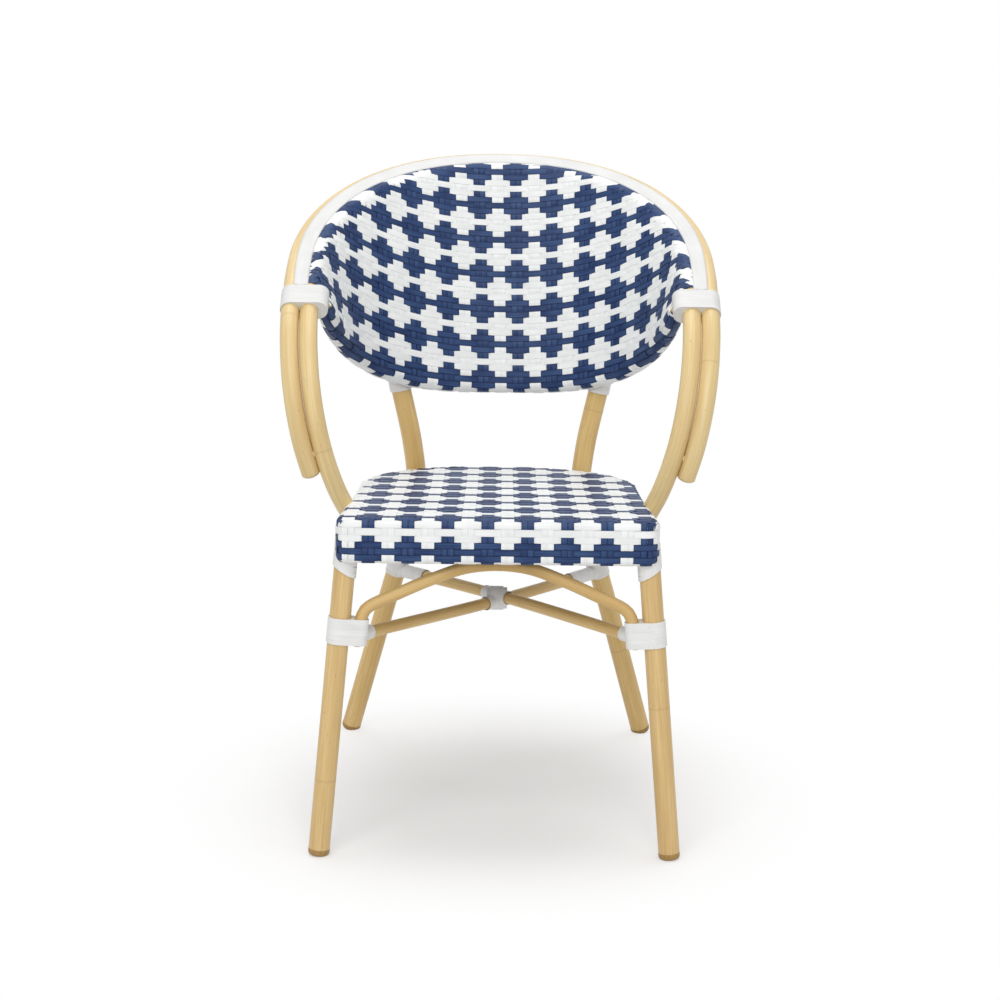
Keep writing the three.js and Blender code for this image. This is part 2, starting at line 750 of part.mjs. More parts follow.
// The lower binding of a front leg, around the leg and the end of the arch
function legArchSleeve(sign, growth) {
  const first = legDiameter / 2 + bindingThickness + growth;
  const last = archDiameter / 2 + bindingThickness + growth;
  const centre = legPointAt(frontFoot, frontLegTop, legLowBindingHeight, sign);
  const axis = frontLegTop.clone().sub(frontFoot);
  const width = Math.abs(centre.x) - archHalfSpan;
  const towards = new THREE.Vector3(-sign, 0, 0);
  const length = legLowBindingLength + 2 * growth;
  return sleeveSolid(aroundTwo(first, width, last), length, centre, mirroredTo(axis, sign), towards);
}

// The upper binding of a front leg, whose lower edge slants down towards the middle of the chair
function legTopSleeve(name, sign) {
  const pole = frontLegs[name];
  const edge = legPointAt(frontFoot, frontLegTop, frontLegTop.z - legTopBindingLength, sign);
  const sleeve = roundSleeve(pole, shareAtHeight(pole, edge.z), 2 * legTopBindingLength);
  const below = new THREE.BoxGeometry(2 * cutOverrun, 2 * cutOverrun, 2 * cutOverrun);
  below.translate(0, 0, -cutOverrun);
  below.rotateY(-sign * legTopBindingSlant);
  below.translate(edge.x, edge.y, edge.z);
  return cut(sleeve, [seatEnvelope, toSolid(below), poleCutter(pole), archCutter]);
}

function addFrontBindings() {
  sides.forEach(({ name, sign }) => {
    addPiece(chair, `front_leg_binding_upper_${name}`, legTopSleeve(name, sign), bindingLook);
    const tools = [...legCutters, archCutter, ...braceCutters];
    addPiece(chair, `front_leg_binding_lower_${name}`, cut(legArchSleeve(sign, 0), tools), bindingLook);
    const brace = braces[name];
    const share = braceFrontBindingLength / 2 / brace.path.getLength();
    const sleeve = roundSleeve(brace, share, braceFrontBindingLength);
    const end = cut(sleeve, [...tools, legArchSleeve(sign, fitGap)]);
    addPiece(chair, `brace_binding_front_${name}`, end, bindingLook);
  });
}

function addRearBindings() {
  sides.forEach(({ name }) => {
    const leg = rearLegs[name];
    const share = shareAtHeight(leg, rearLegBindingHeight);
    const tools = [...legCutters, ...braceCutters];
    const around = cut(roundSleeve(leg, share, rearLegBindingLength), tools);
    addPiece(chair, `rear_leg_binding_${name}`, around, bindingLook);
    const brace = braces[otherSide[name]];
    const back = 1 - braceRearBindingLength / 2 / brace.path.getLength();
    const sleeve = roundSleeve(brace, back, braceRearBindingLength);
    const end = cut(sleeve, [...tools, roundSleeve(leg, share, rearLegBindingLength, fitGap)]);
    addPiece(chair, `brace_binding_rear_${name}`, end, bindingLook);
  });
  const crossing = Object.values(braces).map((brace) => {
    const share = frontLegPointShare(brace);
    return roundSleeve(brace, share, crossBindingLength);
  });
  const cross = cut(crossing[0].add(crossing[1]), braceCutters);
  addPiece(chair, 'brace_center_binding', cross, bindingLook);
}

// The share of a brace's path that lies in front of the middle of the chair
function frontLegPointShare(brace) {
  const ends = [brace.path.getPoint(0), brace.path.getPoint(1)];
  return ends[0].x / (ends[0].x - ends[1].x);
}

function addUprightBindings() {
  const wrap = 2 * (weaveGap + weaveThickness);
  const wrappedRail = poleCutter({ ...lowerRail, diameter: lowerRailDiameter + wrap });
  const wrappedHoop = poleCutter({ ...innerHoop, diameter: hoopDiameter + wrap });
  sides.forEach(({ name }) => {
    const leg = rearLegs[name];
    const lowShare = shareAtHeight(leg, lowerRailHeight + uprightBindingLift);
    const low = roundSleeve(leg, lowShare, uprightBindingLength);
    addPiece(chair, `upright_binding_${name}`, cut(low, [...legCutters, wrappedRail]), bindingLook);
    const topShare = 1 - (hoopDiameter + uprightTopBindingLength / 2) / leg.path.getLength();
    const high = roundSleeve(leg, topShare, uprightTopBindingLength);
    const tools = [...legCutters, wrappedHoop, hoopCutters[1]];
    addPiece(chair, `upright_top_binding_${name}`, cut(high, tools), bindingLook);
  });
}

addLegs();
addHoops();
addArmSpacers();
addBack();
addSeat();
addStretchers();
addFrontBindings();
addRearBindings();
addUprightBindings();

export default chair;
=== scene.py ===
import math
import bmesh
import bpy
import numpy as np
from mathutils import Matrix, Vector


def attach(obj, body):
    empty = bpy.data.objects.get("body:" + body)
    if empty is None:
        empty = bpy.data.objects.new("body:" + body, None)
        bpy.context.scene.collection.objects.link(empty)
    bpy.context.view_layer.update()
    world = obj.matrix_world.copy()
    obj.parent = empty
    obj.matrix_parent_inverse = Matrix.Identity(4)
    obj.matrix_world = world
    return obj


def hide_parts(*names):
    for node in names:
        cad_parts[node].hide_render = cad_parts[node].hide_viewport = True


print("chair: loading the frame")
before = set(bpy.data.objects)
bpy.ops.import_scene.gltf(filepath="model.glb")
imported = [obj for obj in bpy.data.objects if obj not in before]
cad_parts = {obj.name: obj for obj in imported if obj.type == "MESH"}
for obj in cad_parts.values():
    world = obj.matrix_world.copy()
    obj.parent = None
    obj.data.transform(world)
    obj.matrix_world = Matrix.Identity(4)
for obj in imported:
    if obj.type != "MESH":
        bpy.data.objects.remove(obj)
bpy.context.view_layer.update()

# Lengths in the dictionaries are millimetres, as in the part's source; meshes are made in metres
metre = 0.001
randomDraws = np.random.default_rng(11)
upwards = np.array([0.0, 0.0, 1.0])
rightwards = np.array([1.0, 0.0, 0.0])
backwards = np.array([0.0, 1.0, 0.0])


# Helpers for paths, skins and pieces
def unit(v):
    return v / np.maximum(np.linalg.norm(v, axis=-1, keepdims=True), 1e-9)


def eased(share):
    return share * share * (3 - 2 * share)


def onSide(sign, points):
    # What is made for the right side of the chair, or for -1 its mirror image
    return np.asarray(points) * np.array([sign, 1.0, 1.0])


def bothSides(half):
    # From one end to the middle, and the mirror image from there to the other end
    return half + [onSide(-1, point) for point in half[-2::-1]]


def pathLengths(points):
    steps = np.linalg.norm(np.diff(points, axis=0), axis=1)
    return np.concatenate([[0.0], np.cumsum(steps)])


def atLengths(points, wanted):
    lengths = pathLengths(points)
    return np.stack([np.interp(wanted, lengths, points[:, k]) for k in range(3)], axis=1)


def pointAt(path, number):
    # Between the numbered points of a path
    return np.array([np.interp(number, np.arange(len(path)), path[:, k]) for k in range(3)])


def smoothPath(points, count):
    # Centripetal curve through the points, then evened out in length
    p = [np.asarray(q, float) for q in points]
    p = [2 * p[0] - p[1]] + p + [2 * p[-1] - p[-2]]
    fine = []
    t = np.linspace(0, 1, 32, endpoint=False)[:, None]
    for k in range(1, len(p) - 2):
        p0, p1, p2, p3 = p[k - 1:k + 3]
        steps = ((p0, p1), (p1, p2), (p2, p3))
        d0, d1, d2 = (max(np.dot(b - a, b - a) ** 0.25, 1e-4) for a, b in steps)
        m1 = ((p1 - p0) / d0 - (p2 - p0) / (d0 + d1) + (p2 - p1) / d1) * d1
        m2 = ((p2 - p1) / d1 - (p3 - p1) / (d1 + d2) + (p3 - p2) / d2) * d1
        fine.append(p1 + m1 * t + (3 * (p2 - p1) - 2 * m1 - m2) * t ** 2
                    + (2 * (p1 - p2) + m1 + m2) * t ** 3)
    fine = np.vstack(fine + [p[-2][None]])
    return atLengths(fine, np.linspace(0, pathLengths(fine)[-1], count))


def tangentsOf(points, cyclic=False):
    if cyclic:
        return unit(np.roll(points, -1, axis=0) - np.roll(points, 1, axis=0))
    return unit(np.gradient(points, axis=0))


def carriedFrames(points):
    # Two directions square to a path, carried along it without twist
    tangents = tangentsOf(points)
    side = np.cross(tangents[0], [0.31, 0.17, 0.93])
    sides = []
    for tangent in tangents:
        side = side - tangent * np.dot(side, tangent)
        side = side / np.linalg.norm(side)
        sides.append(side)
    return tangents, np.array(sides), np.cross(tangents, sides)


def wheelOf(count):
    # Points round a circle of radius 1, the last one on the first
    angles = np.linspace(0, 2 * math.pi, count + 1)
    wheel = np.stack([np.cos(angles), np.sin(angles)], axis=1)
    wheel[-1] = wheel[0]
    return wheel


def addSkin(bm, points, places, marks=None, cyclic=False, creases=()):
    # A grid of faces is wrapped into a closed skin: rows run along it, columns run round it
    rows, columns = points.shape[:2]
    made = bmesh.ops.create_grid(bm, x_segments=columns - 1, y_segments=rows - 1, size=1)["verts"]
    layer = bm.verts.layers.float_vector["place"]
    flatPoints = points.reshape(-1, 3) * metre
    for vert, co, place in zip(made, flatPoints.tolist(), places.reshape(-1, 3).tolist()):
        vert.co = co
        vert[layer] = place
    if marks is not None:
        markLayer = bm.verts.layers.float["nodeMark"]
        for number, vert in enumerate(made):
            vert[markLayer] = marks[number // columns]
    for column in creases:
        for ends in zip(made[column::columns], made[column + columns::columns]):
            bm.edges.get(ends).smooth = False
    seam = made[::columns] + made[columns - 1::columns]
    if cyclic:
        seam += made[:columns] + made[-columns:]
    bmesh.ops.remove_doubles(bm, verts=list(dict.fromkeys(seam)), dist=1e-7)


def startMesh():
    bm = bmesh.new()
    bm.verts.layers.float_vector.new("place")
    return bm


def linkObject(name, data):
    made = bpy.data.objects.new(name, data)
    bpy.context.scene.collection.objects.link(made)
    return made


def meshObject(bm, name, material):
    mesh = bpy.data.meshes.new(name)
    bm.to_mesh(mesh)
    bm.free()
    mesh.materials.append(material)
    return linkObject(name, mesh)


def finishPiece(bm, name, material, slot, *nodes):
    # Ends are closed, faces turned outwards, and the piece joins the chair
    for face in bm.faces:
        face.smooth = True
    rims = [edge for edge in bm.edges if edge.is_boundary]
    if rims:
        for face in bmesh.ops.holes_fill(bm, edges=rims, sides=0)["faces"]:
            face.smooth = False
            for edge in face.edges:
                edge.smooth = False
    bmesh.ops.recalc_face_normals(bm, faces=bm.faces)
    piece = meshObject(bm, name, material)
    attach(piece, "root")
    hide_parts(*nodes)


# Helpers for materials: tones are colours as a screen has them, 0 to 255; a grey is 0 to 1
def linear(tone):
    return (*(((c / 255 + 0.055) / 1.055) ** 2.4 for c in tone), 1)


def grey(level):
    return (level, level, level, 1)


def setInputs(tree, node, inputs):
    # Each input is a constant or the output of another node
    for socket, value in inputs.items():
        if isinstance(value, bpy.types.NodeSocket):
            tree.links.new(value, node.inputs[socket])
        else:
            node.inputs[socket].default_value = value


def addNode(tree, kind, inputs=None, **settings):
    node = tree.nodes.new("ShaderNode" + kind)
    for setting, value in settings.items():
        setattr(node, setting, value)
    setInputs(tree, node, inputs or {})
    return node


def addMath(tree, operation, first, second=0.5):
    return addNode(tree, "Math", {0: first, 1: second}, operation=operation).outputs[0]


def addNoise(tree, scale, start=(0, 0, 0), detail=2, roughness=0.5):
    # Noise over the place on a piece: across it, along it, and a number of each strip's own
    place = addNode(tree, "Attribute", attribute_name="place").outputs["Vector"]
    mapped = addNode(tree, "Mapping", {"Vector": place, "Scale": scale, "Location": start})
    vector = mapped.outputs["Vector"]
    inputs = {"Vector": vector, "Scale": 1, "Detail": detail, "Roughness": roughness}
    return addNode(tree, "TexNoise", inputs).outputs["Fac"]


def addRamp(tree, factor, ends, low, high):
    ramp = addNode(tree, "ValToRGB", {"Fac": factor})
    for element, end, colour in zip(ramp.color_ramp.elements, ends, (low, high)):
        element.position = end
        element.color = colour
    return ramp.outputs["Color"]


def addRange(tree, value, start, end, **settings):
    inputs = {"Value": value, "From Min": start, "From Max": end}
    return addNode(tree, "MapRange", inputs, **settings).outputs["Result"]


def addMix(tree, factor, first, second):
    inputs = {"Factor": factor, "A": first, "B": second}
    return addNode(tree, "Mix", inputs, data_type="RGBA").outputs["Result"]


def newMaterial(name):
    material = bpy.data.materials.new(name)
    material.use_nodes = True
    return material, material.node_tree


def finishLook(tree, look, colour, height):
    # The look's own shader values, a colour, and a fine relief from the same noise
    strength, distance = look["bump"]
    bump = addNode(tree, "Bump", {"Height": height, "Strength": strength, "Distance": distance})
    inputs = {"Base Color": colour, "Normal": bump.outputs["Normal"], **look["shader"]}
    setInputs(tree, tree.nodes["Principled BSDF"], inputs)


print("chair: materials")
caneLook = {
    "nodeMark": (150, 112, 62),
    "grainScale": (900, 900, 9), "grainEnds": (0.3, 0.72), "bump": (0.25, 0.0004),
    # Blotches and specks: scale, start and detail of the noise; ends and full share of the tone
    "spots": ((((60, 60, 7), (4, 2, 1), 2), (0.42, 0.75), 0.75),
              (((420, 420, 150), (9, 5, 3), 1), (0.735, 0.8), 0.55)),
    "shader": {"Roughness": 0.42, "Coat Weight": 0.12, "Coat Roughness": 0.25},
    # Light streaks, dark streaks and blotches; the hoops are paler than the poles below, whose
    # darker tones are painted shade, darkest on the arch low under the seat
    "tones": {
        "hoopCane": ((235, 213, 161), (213, 185, 127), (205, 173, 115)),
        "legCane": ((231, 201, 144), (207, 172, 110), (197, 160, 98)),
        "rearCane": ((236, 205, 140), (210, 173, 104), (198, 158, 90)),
        "archCane": ((224, 192, 130), (200, 163, 97), (186, 148, 84)),
    },
}


def caneMaterial(name, tones):
    f = caneLook
    light, dark, blotch, mark = (linear(tone) for tone in (*tones, f["nodeMark"]))
    material, tree = newMaterial(name)
    grain = addNoise(tree, f["grainScale"], detail=3, roughness=0.6)
    colour = addRamp(tree, grain, f["grainEnds"], dark, light)
    for (noise, ends, share), tone in zip(f["spots"], (blotch, mark)):
        shade = addRamp(tree, addNoise(tree, *noise), ends, grey(0), grey(share))
        colour = addMix(tree, shade, colour, tone)
    nodeMarks = addNode(tree, "Attribute", attribute_name="nodeMark").outputs["Fac"]
    finishLook(tree, f, addMix(tree, nodeMarks, colour, mark), grain)
    return material


stripLook = {
    # Painted shade darkens each strip towards its edges, where strips meet, between these two
    # distances
    "edgeShadeStart": 0.0027, "edgeShadeEnd": 0.0042,  # metres from the middle of a strip
    "lineScale": (1400, 12, 50), "driftScale": (40, 25, 31), "toneEnds": (0.36, 0.64),
    "bump": (0.2, 0.0003), "shader": {"Roughness": 0.42, "Specular IOR Level": 0.22},
    # Light, dark and the painted shade at the edges, where strips meet; the bindings on the hoops
    # lie in full light and are a little darker
    "tones": {
        "navyStrip": ((57, 81, 124), (30, 50, 92), (18, 35, 72)),
        "whiteStrip": ((247, 248, 247), (231, 233, 232), (234, 236, 235)),
        "whiteWrap": ((239, 239, 238), (227, 227, 226)),
        "hoopWrap": ((224, 224, 223), (214, 214, 213)),
    },
}


def stripMaterial(name, light, dark, edge=None):
    # Flat plastic strip with fine lines along it, and painted shade towards its edges where it
    # meets the next strip
    f = stripLook
    material, tree = newMaterial(name)
    lines = addNoise(tree, f["lineScale"])
    drift = addNoise(tree, f["driftScale"], (1, 2, 3), detail=1)
    both = addMath(tree, "MULTIPLY", addMath(tree, "ADD", lines, drift), 0.5)
    colour = addRamp(tree, both, f["toneEnds"], linear(dark), linear(light))
    # The edge tone is painted shade, strongest at the strip's edges
    if edge:
        place = addNode(tree, "Attribute", attribute_name="place").outputs["Vector"]
        across = addNode(tree, "SeparateXYZ", {"Vector": place}).outputs["X"]
        fromMiddle = addMath(tree, "ABSOLUTE", across)
        edgeShadeShare = addRange(tree, fromMiddle, f["edgeShadeStart"], f["edgeShadeEnd"])
        colour = addMix(tree, edgeShadeShare, colour, linear(edge))
    finishLook(tree, f, colour, lines)
    return material


capLook = {
    "light": (180, 144, 86), "dark": (152, 117, 63), "shader": {"Roughness": 0.5},
    "mottleScale": (300, 300, 300), "mottleEnds": (0.35, 0.65), "bump": (0.15, 0.0003),
}


def capMaterial(name):
    f = capLook
    material, tree = newMaterial(name)
    mottle = addNoise(tree, f["mottleScale"], detail=3)
    colour = addRamp(tree, mottle, f["mottleEnds"], linear(f["dark"]), linear(f["light"]))
    finishLook(tree, f, colour, mottle)
    return material


canes = {name: caneMaterial(name, tones) for name, tones in caneLook["tones"].items()}
strips = {name: stripMaterial(name, *tones) for name, tones in stripLook["tones"].items()}
tanPlug = capMaterial("tanFootPlug")


pole = {
    "sides": 32, "ringGap": 7, "leastGap": 0.5,
    "nodeGap": 390, "firstNode": (0.2, 0.8), "nodeRise": 0.09, "nodeWidth": 2.2,
    "nodeRings": (-4, -2, -0.9, 0, 0.9, 2, 4),
    "markShade": 0.22, "markWidth": 1.1,
    "domeTurns": np.radians([82, 60, 40, 20, 8]), "grainRange": 9000,
}


def ringLengths(total, nodePlaces):
    # Rings lie evenly along a pole, and closer at its nodes
    even = np.linspace(0, total, max(int(round(total / pole["ringGap"])), 2) + 1)
    extra = [n + d for n in nodePlaces for d in pole["nodeRings"]]
    every = np.unique(np.concatenate([even, [e for e in extra if 1 < e < total - 1]]))
    keep = [every[0]]
    for length in every[1:]:
        if length - keep[-1] > pole["leastGap"]:
            keep.append(length)
    return np.array(keep)


def endShares(fromEnd, reach, endShare):
    # Full size, easing down to a share of it at the end
    return endShare + (1 - endShare) * eased(np.clip(fromEnd / reach, 0, 1))


def addPole(bm, path, diameter, dome=0, hasNodes=True, thinEnds=None):
    # A round cane pole: it swells a little at its nodes, and can have rounded ends
    f = pole
    total = pathLengths(path)[-1]
    nodePlaces = []
    if hasNodes:
        first = randomDraws.uniform(*f["firstNode"]) * f["nodeGap"]
        nodePlaces = np.arange(first, total, f["nodeGap"])
    lengths = ringLengths(total, nodePlaces)
    centres = atLengths(path, lengths)
    radii = np.full(len(lengths), diameter / 2.0)
    if thinEnds:
        radii *= endShares(np.minimum(lengths, total - lengths), *thinEnds)
    marks = np.zeros(len(lengths))
    for place in nodePlaces:
        radii += f["nodeRise"] * np.exp(-((lengths - place) / f["nodeWidth"]) ** 2)
        marks += f["markShade"] * np.exp(-((lengths - place) / f["markWidth"]) ** 2)
    tangents, sides, others = carriedFrames(centres)
    if dome:
        turns = f["domeTurns"]
        for at, outward in ((0, -tangents[0]), (-1, tangents[-1])):
            caps = (centres[at] + outward * dome * np.sin(turns)[:, None],
                    diameter / 2 * np.cos(turns), np.tile(sides[at], (len(turns), 1)),
                    np.tile(others[at], (len(turns), 1)), np.zeros(len(turns)))
            centres, radii, sides, others, marks = (
                np.concatenate([row, end[::-1]] if at else [end, row])
                for end, row in zip(caps, (centres, radii, sides, others, marks)))
    wheel = wheelOf(f["sides"])
    arms = wheel[None, :, :1] * sides[:, None] + wheel[None, :, 1:] * others[:, None]
    points = centres[:, None] + arms * radii[:, None, None]
    places = np.empty(points.shape)
    places[..., :2] = wheel[None] * diameter / 2 * metre
    along = pathLengths(centres) + randomDraws.uniform(0, f["grainRange"])
    places[..., 2] = along[:, None] * metre
    addSkin(bm, points, places, marks)


def polePiece(node, path, diameter, look, **options):
    bm = startMesh()
    bm.verts.layers.float.new("nodeMark")
    addPole(bm, path, diameter, **options)
    finishPiece(bm, "cane_" + node, canes[look], "rattan", node)


# The frame has the same named sizes as the solids
hoop = {
    "diameter": 24, "seenDiameter": 24.6, "spacing": 25, "tilt": math.radians(26.3),
    "halfWidth": 267, "depth": 280, "straight": 51, "topY": 254, "topHeight": 851,
    "roundness": 2.23, "bendRadius": 205, "points": 1201,
    # How far each arm turns down, and how far its end leans in
    "innerArm": (math.radians(92), 61), "outerArm": (math.radians(72.5), 33), "inwardPower": 2.5,
    "endDome": 6, "spacerDiameter": 9, "spacerAngle": math.radians(65),
}
hoopNormal = np.array([0, -math.sin(hoop["tilt"]), math.cos(hoop["tilt"])])
pairOffset = hoop["spacing"] / 2


def hoopPlanePoint(x, fromTop):
    y = hoop["topY"] - fromTop * math.cos(hoop["tilt"])
    z = hoop["topHeight"] - fromTop * math.sin(hoop["tilt"])
    return np.array([x, y, z])


armStart = hoopPlanePoint(0, hoop["depth"] + hoop["straight"])


def hoopRoundPoint(angle, offset):
    power = 2 / hoop["roundness"]
    across = (hoop["halfWidth"] + offset) * max(math.cos(angle), 0) ** power
    along = (hoop["depth"] + offset) * math.sin(angle) ** power
    return hoopPlanePoint(-across, hoop["depth"] - along)


def armPoint(turn, offset, sweep, inward):
    across = hoop["halfWidth"] + offset - inward * (turn / sweep) ** hoop["inwardPower"]
    tilt, radius = hoop["tilt"], hoop["bendRadius"]
    y = armStart[1] + radius * (math.sin(tilt) - math.sin(tilt + turn))
    z = armStart[2] - radius * (math.cos(tilt) - math.cos(tilt + turn))
    return np.array([-across, y, z])


def hoopPath(offset, sweep, inward):
    straightMiddle = hoop["depth"] + hoop["straight"] / 2
    half = [armPoint(i / 7 * sweep, offset, sweep, inward) for i in range(7, -1, -1)]
    half.append(hoopPlanePoint(-hoop["halfWidth"] - offset, straightMiddle))
    half += [hoopRoundPoint(i / 8 * math.pi / 2, offset) for i in range(9)]
    half[-1][0] = 0
    return smoothPath(bothSides(half), hoop["points"])


innerHoop = hoopPath(-pairOffset, *hoop["innerArm"])
outerHoop = hoopPath(pairOffset, *hoop["outerArm"])
middleHoop = hoopPath(0, *hoop["outerArm"])

rail = {
    "diameter": 20, "inset": 35, "endShift": 4, "thinEnds": (45, 0.6), "endReach": 3, "endDrop": 5,
    "rearY": 182, "height": 548, "risePower": 1.31, "points": 1201,
}
rail["halfWidth"] = hoop["halfWidth"] - rail["inset"]
rail["mouthY"] = armStart[1] - rail["endReach"]
rail["depth"] = rail["rearY"] - rail["mouthY"]
rail["rise"] = armStart[2] - rail["endDrop"] - rail["height"]


def lowerRailPoint(angle):
    reach = math.sin(angle)
    x = -(rail["halfWidth"] + rail["endShift"] * (1 - reach) ** 6) * math.cos(angle)
    y = rail["mouthY"] + rail["depth"] * reach
    return np.array([x, y, rail["height"] + rail["rise"] * (1 - reach) ** rail["risePower"]])


lowerRail = smoothPath([lowerRailPoint(i / 18 * math.pi) for i in range(19)], rail["points"])

seat = {
    "frontY": -270, "frontHeight": 457, "tilt": math.radians(3.5), "height": 60,
    "frontHalfWidth": 208, "rearHalfWidth": 190, "sideLength": 272, "rearDepth": 166,
    "roundness": 2.3, "cornerRadius": 20, "edgeRadius": 9,
    "railDiameter": 26, "railGap": 0.5, "railInset": 3.6, "railPoints": 301,
}


def toChair(points):
    # From the seat's own frame, whose origin is the top of its front edge
    points = np.asarray(points, float)
    c, s = math.cos(seat["tilt"]), math.sin(seat["tilt"])
    x, y, z = np.moveaxis(points, -1, 0)
    return np.stack([x, seat["frontY"] + y * c + z * s, seat["frontHeight"] - y * s + z * c], -1)


def turnToChair(directions):
    return toChair(directions) - toChair(np.zeros(3))


def seatRear(inset, bays):
    # The right half of the seat's rounded back, from the side to the middle
    angles = np.linspace(0, math.pi / 2, bays + 1)
    power = 2 / seat["roundness"]
    x = (seat["rearHalfWidth"] - inset) * np.maximum(np.cos(angles), 0) ** power
    y = seat["sideLength"] + (seat["rearDepth"] - inset) * np.sin(angles) ** power
    x[-1] = 0
    return np.stack([x, y], axis=1)


railDepth = seat["railInset"] + seat["railDiameter"] / 2
seatLevels = {"upper": -railDepth, "lower": -railDepth - seat["railDiameter"] - seat["railGap"]}

leg = {
    "diameter": 28, "frontFoot": (230, -263, 9), "frontTop": (194, -245), "frontTopDrop": 12,
    "rearFoot": (218, 256, 9), "rearKnee": (112, 157.327, 406), "kneeLength": 60,
    "atRail": (145.487, 161.76, 563.683), "railHalfSpread": 144, "topHalfSpread": 195,
    "topDrop": 14, "points": 401,
}
frontFoot, rearFoot, rearKnee = (
    np.array(leg[at], float) for at in ("frontFoot", "rearFoot", "rearKnee"))
frontLegTop = np.array([*leg["frontTop"], seat["frontHeight"] + seatLevels["lower"]])


def legPointAt(foot, top, height, sign=1):
    return onSide(sign, foot + (top - foot) * (height - foot[2]) / (top[2] - foot[2]))


def rearLegPath():
    # From the floor past the back of the seat, behind the lower rail, and up to the hoops
    topAngle = math.acos((leg["topHalfSpread"] / hoop["halfWidth"]) ** (hoop["roundness"] / 2))
    knee, atRail, top = rearKnee, np.array(leg["atRail"]), onSide(-1, hoopRoundPoint(topAngle, 0))
    down, up = (unit(end - knee) * leg["kneeLength"] for end in (rearFoot, atRail))
    return smoothPath([rearFoot, (rearFoot + knee) / 2, knee + down, knee + (down + up) / 4,
                       knee + up, atRail, (atRail + top) / 2, top], leg["points"])


stretcher = {
    "archDiameter": 16, "archHalfSpan": 176, "archEndHeight": 284, "archShoulderHeight": 320,
    "archCrownHeight": 390, "archCrownBack": 12, "archGap": 0.3,
    "archAcross": (0.994, 0.955, 0.72, 0.475, 0.24, 0), "archUp": (0, 0.18, 0.465, 0.73, 0.935, 1),
    "braceDiameter": 16, "braceFrontHeight": 291, "braceRearHeight": 268, "braceCrossOffset": 8,
    "archPoints": 401, "bracePoints": 201,
}


def archPath():
    f = stretcher
    foot = legPointAt(frontFoot, frontLegTop, f["archEndHeight"], -1)
    beside = (leg["diameter"] + f["archDiameter"]) / 2 + f["archGap"]
    rise = f["archCrownHeight"] - f["archShoulderHeight"]
    half = [np.array([foot[0] + beside, foot[1], f["archEndHeight"]])]
    half += [np.array([-across * f["archHalfSpan"], foot[1] + f["archCrownBack"] * up,
                       f["archShoulderHeight"] + rise * up])
             for across, up in zip(f["archAcross"], f["archUp"])]
    return smoothPath(bothSides(half), f["archPoints"])


def bracePath(sign, lift):
    front = legPointAt(frontFoot, frontLegTop, stretcher["braceFrontHeight"], sign)
    rear = legPointAt(rearFoot, rearKnee, stretcher["braceRearHeight"], -sign)
    middle = front + (rear - front) * front[0] / (front[0] - rear[0]) + upwards * lift
    return smoothPath([front, middle, rear], stretcher["bracePoints"])


rearLeg = {1: rearLegPath()}
rearLeg[-1] = onSide(-1, rearLeg[1])
braces = {sign: bracePath(sign, sign * stretcher["braceCrossOffset"] / 2) for sign in (1, -1)}
sideNames = {-1: "left", 1: "right"}


def seatRails(level, height):
    f = seat
    along = [np.array([-x, y, height]) for x, y in seatRear(railDepth, 16)]
    front = np.array([railDepth - f["frontHalfWidth"], railDepth, height])
    loop = smoothPath(bothSides([front, (front + along[0]) / 2, *along]), f["railPoints"])
    polePiece(f"seat_side_rail_{level}", toChair(loop), f["railDiameter"], "rearCane")
    end = f["frontHalfWidth"] - f["cornerRadius"]
    bar = np.array([[-end, railDepth, height], [end, railDepth, height]])
    polePiece(f"seat_front_rail_{level}", toChair(bar), f["railDiameter"], "rearCane")


print("chair: cane poles")
hoopThickness, braceThickness = hoop["seenDiameter"], stretcher["braceDiameter"]
polePiece("inner_hoop", innerHoop, hoopThickness, "hoopCane")
polePiece("outer_hoop", outerHoop, hoopThickness, "hoopCane", dome=hoop["endDome"])
polePiece("back_lower_rail", lowerRail[3:-3], rail["diameter"], "hoopCane",
          thinEnds=rail["thinEnds"])
for sign, side in sideNames.items():
    heights = np.linspace(frontFoot[2], frontLegTop[2] - leg["frontTopDrop"], 60)
    straightLeg = np.array([legPointAt(frontFoot, frontLegTop, z, sign) for z in heights])
    polePiece(f"front_leg_{side}", straightLeg, leg["diameter"], "legCane")
    lengths = pathLengths(rearLeg[sign])
    upright = rearLeg[sign][lengths < lengths[-1] - leg["topDrop"]]
    polePiece(f"rear_leg_{side}", upright, leg["diameter"], "rearCane")
    ends = [armPoint(hoop["spacerAngle"], -pairOffset, *hoop["innerArm"]),
            armPoint(hoop["spacerAngle"], pairOffset, *hoop["outerArm"])]
    polePiece(f"arm_spacer_{side}", onSide(-sign, ends), hoop["spacerDiameter"], "hoopCane",
              hasNodes=False)
polePiece("front_arch", archPath(), stretcher["archDiameter"], "archCane")
polePiece("cross_brace_upper", braces[1], braceThickness, "rearCane")
polePiece("cross_brace_lower", braces[-1], braceThickness, "rearCane")
for level, height in seatLevels.items():
    seatRails(level, height)


cap = {"height": 9, "round": 5, "soleDiameter": 20, "proud": 0.15, "sides": 40}


def footCap(name, foot, top):
    f = cap
    radius, sole = leg["diameter"] / 2 + f["proud"], f["soleDiameter"] / 2
    axis = unit(foot - top)
    side = unit(np.cross(axis, [0, 1, 0]))
    flat = f["height"] - f["round"]
    profile = [(radius, 0.1), (radius, flat * 0.6), (radius - 0.1, flat)]
    profile += [(sole + (radius - sole) * math.cos(a), flat + f["round"] * math.sin(a))
                for a in np.radians([25, 50, 75, 90])]
    wheel = wheelOf(f["sides"])
    arms = wheel[:, :1] * side + wheel[:, 1:] * np.cross(axis, side)
    points = np.array([foot + axis * down + arms * r for r, down in profile])
    points[..., 2] = np.maximum(points[..., 2], 0)
    bm = startMesh()
    addSkin(bm, points, points * metre)
    finishPiece(bm, "plug_" + name, tanPlug, "foot_cap", name)


